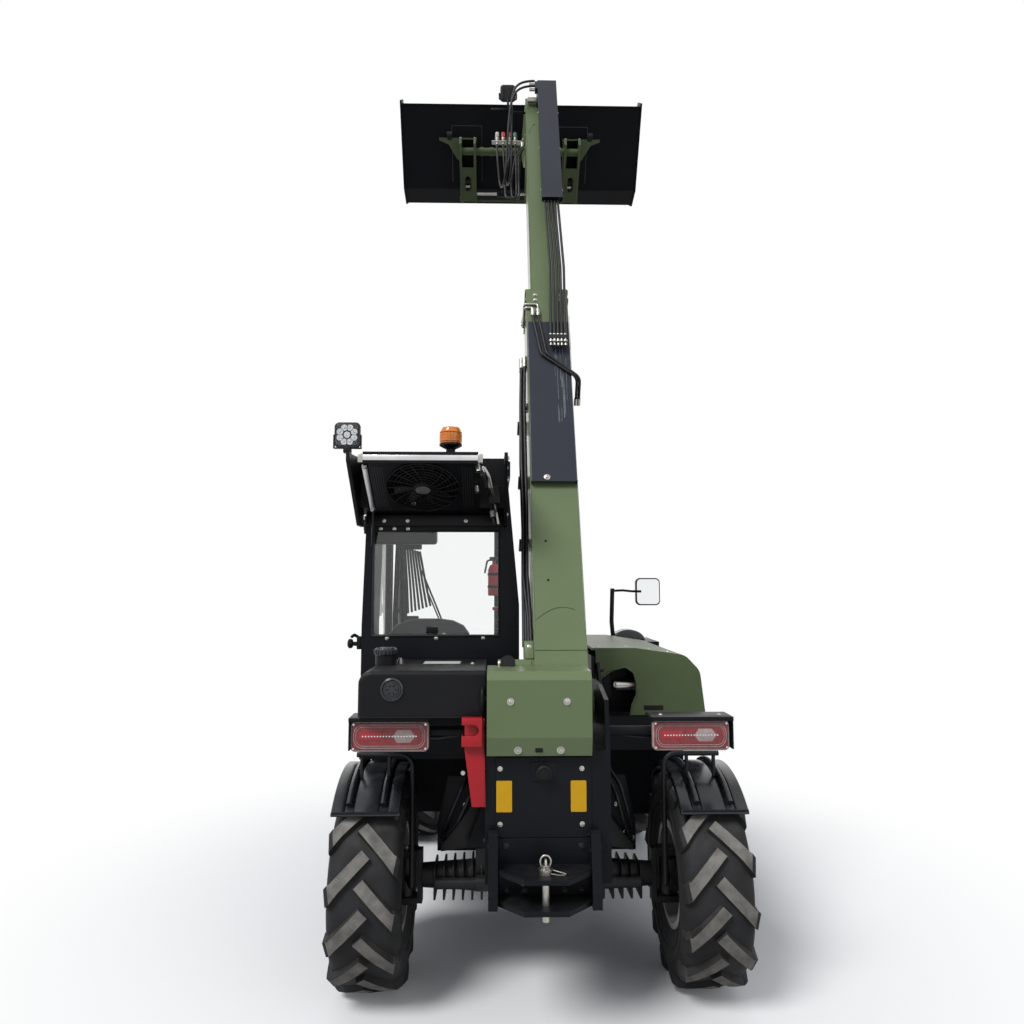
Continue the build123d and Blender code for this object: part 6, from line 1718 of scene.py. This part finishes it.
def make_carriage_details():
    """Round rubber stops on the hooks, pins, bolts and the locking bar of the carriage."""
    # the carriage's bosses, loops and bar ends use the green darkened as painted shade
    shape = Shape("carriage_details", "green_painted_shade", "zinc", "grille_dark", "black_paint")
    for x in (-0.590, 0.565):
        shape.rod(on_bucket(x - 0.022, 0.030, 0.118), on_bucket(x + 0.022, 0.030, 0.118), 0.030,
                  "grille_dark", 24)
        shape.box((x - 0.016, 0, 0), (x + 0.016, 0.03, 0.06), "black_paint", 0.003,
                  turned(X_AXIS, UP_BUCKET, on_bucket(0, 0.020, 0.080)))
    for low in (-0.510, -0.393, 0.353, 0.469):
        for s in (0.080, -0.370):
            for x, side in ((low - 0.0003, -1), (low + 0.0203, 1)):
                shape.lathe([(0, 0), (0.020, 0), (0.020, 0.005), (0, 0.005)],
                            turned(UP_BUCKET, X_AXIS * side, on_bucket(x, 0.105, s)),
                            "green_painted_shade", 22)
        shape.lathe([(0, 0), (0.013, 0), (0.013, 0.006), (0, 0.006)], turned(X_AXIS, UP_BUCKET,
                on_bucket(low + 0.010, 0.03, 0.1003)),
                    "zinc", 20)
    for x in (-0.4515, 0.4115):
        loop = [on_bucket(x + 0.026 * math.cos(t), 0.018,
                          -0.250 + (0.036 if math.sin(t) > 0 else -0.036) + 0.026 * math.sin(t))
                for t in [2 * math.pi * k / 24 + 0.01 for k in range(25)]]
        shape.tube([p + INTO_BUCKET * (0.0095 - (on_bucket(0, 0,
                                                           0) - p).dot(-UP_BUCKET) * 0.0) for p in loop],
                   0.0025, "green_painted_shade", 6)
        shape.rod(on_bucket(x, 0.060, -0.235), on_bucket(x, 0.148, -0.235), 0.019, "grille_dark", 20)
        shape.rod(on_bucket(x - 0.02, 0.085, -0.270), on_bucket(x + 0.02, 0.085, -0.270), 0.012, "zinc", 16)
    # locking bar and its springs behind the sloping plates
    shape.rod(on_bucket(-0.372, 0.100, -0.330), on_bucket(0.352, 0.100, -0.330), 0.0125, "zinc", 20)
    shape.rod(on_bucket(-0.20, 0.100, -0.330), on_bucket(-0.03, 0.100, -0.330), 0.028, "black_paint", 24)
    shape.rod(on_bucket(0.235, 0.100, -0.330), on_bucket(0.32, 0.100, -0.330), 0.024, "green_painted_shade", 24)
    for x in (-0.340, -0.260, 0.300):
        shape.rod(on_bucket(x, 0.0, 0.0), on_bucket(x + 0.03, 0.0, 0.0), 0.034, "green_painted_shade", 28)
    shape.done("bucket_carrier")

    bucket = Shape("bucket_details", "bucket_black", "zinc", "bucket_line", "worn_edge")
    back = turned(X_AXIS, -INTO_BUCKET, on_bucket(0, 0.1597, 0))
    for middle in (-0.4515, 0.4315):
        for x0, s0, x1, s1 in ((-0.125, 0.190, 0.125, 0.190), (-0.125, -0.24, -0.125, 0.190),
                               (0.125, -0.24, 0.125, 0.190)):
            bucket.box((middle + min(x0, x1) - 0.0018, min(s0, s1) - 0.0018, 0.0),
                       (middle + max(x0, x1) + 0.0018, max(s0, s1) + 0.0018, 0.0016),
                       "bucket_line", 0.0, back)
    bucket.box((-0.984, 0.336, -0.001), (0.984, 0.350, 0.006), "bucket_black", 0.002, back)
    bucket.box((-0.984, -0.300, -0.001), (0.984, -0.290, 0.0045), "bucket_black", 0.002, back)
    for side in (-1, 1):
        x = side * 1.0003
        for s0, s1, n in ((-0.26, 0.10, 0.24), (0.12, 0.30, 0.24)):
            bucket.box((s0, -0.004, 0), (s1, 0.004, 0.0008), "bucket_line", 0.0,
                       turned(UP_BUCKET, X_AXIS * side, on_bucket(x, n, 0)))
    # cutting edge along the lip and wear strips under the floor
    lip = turned(X_AXIS, UP_BUCKET, on_bucket(0, 0, -0.423))
    bucket.prism([(-0.985, 0.900), (0.985, 0.900), (0.985, 1.018), (-0.985, 1.018)], -0.014, -0.0003,
                 "worn_edge", 0.003, lip)
    for i in range(9):
        x = -0.88 + 0.22 * i
        bucket.lathe([(0, 0), (0.016, 0), (0.012, 0.006), (0, 0.008)],
                     turned(X_AXIS, -UP_BUCKET, on_bucket(x, 0.955, -0.4373)), "worn_edge", 20)
    bucket.done("bucket_carrier")


# ---------------------------------------------------------------- the scene

make_camera()
make_studio()
make_materials()
finish_nodes()
make_head_hoses()
make_wheels()
make_rear_cover_details()
make_safety_strut()
make_tail_lamps()
make_drawbar_details()
make_tank_details()
make_chassis_details()
make_condenser_details()
make_cab_top()
make_cab_inside()
make_engine_side()
make_outer_boom_details()
make_inner_boom_details()
make_carriage_details()
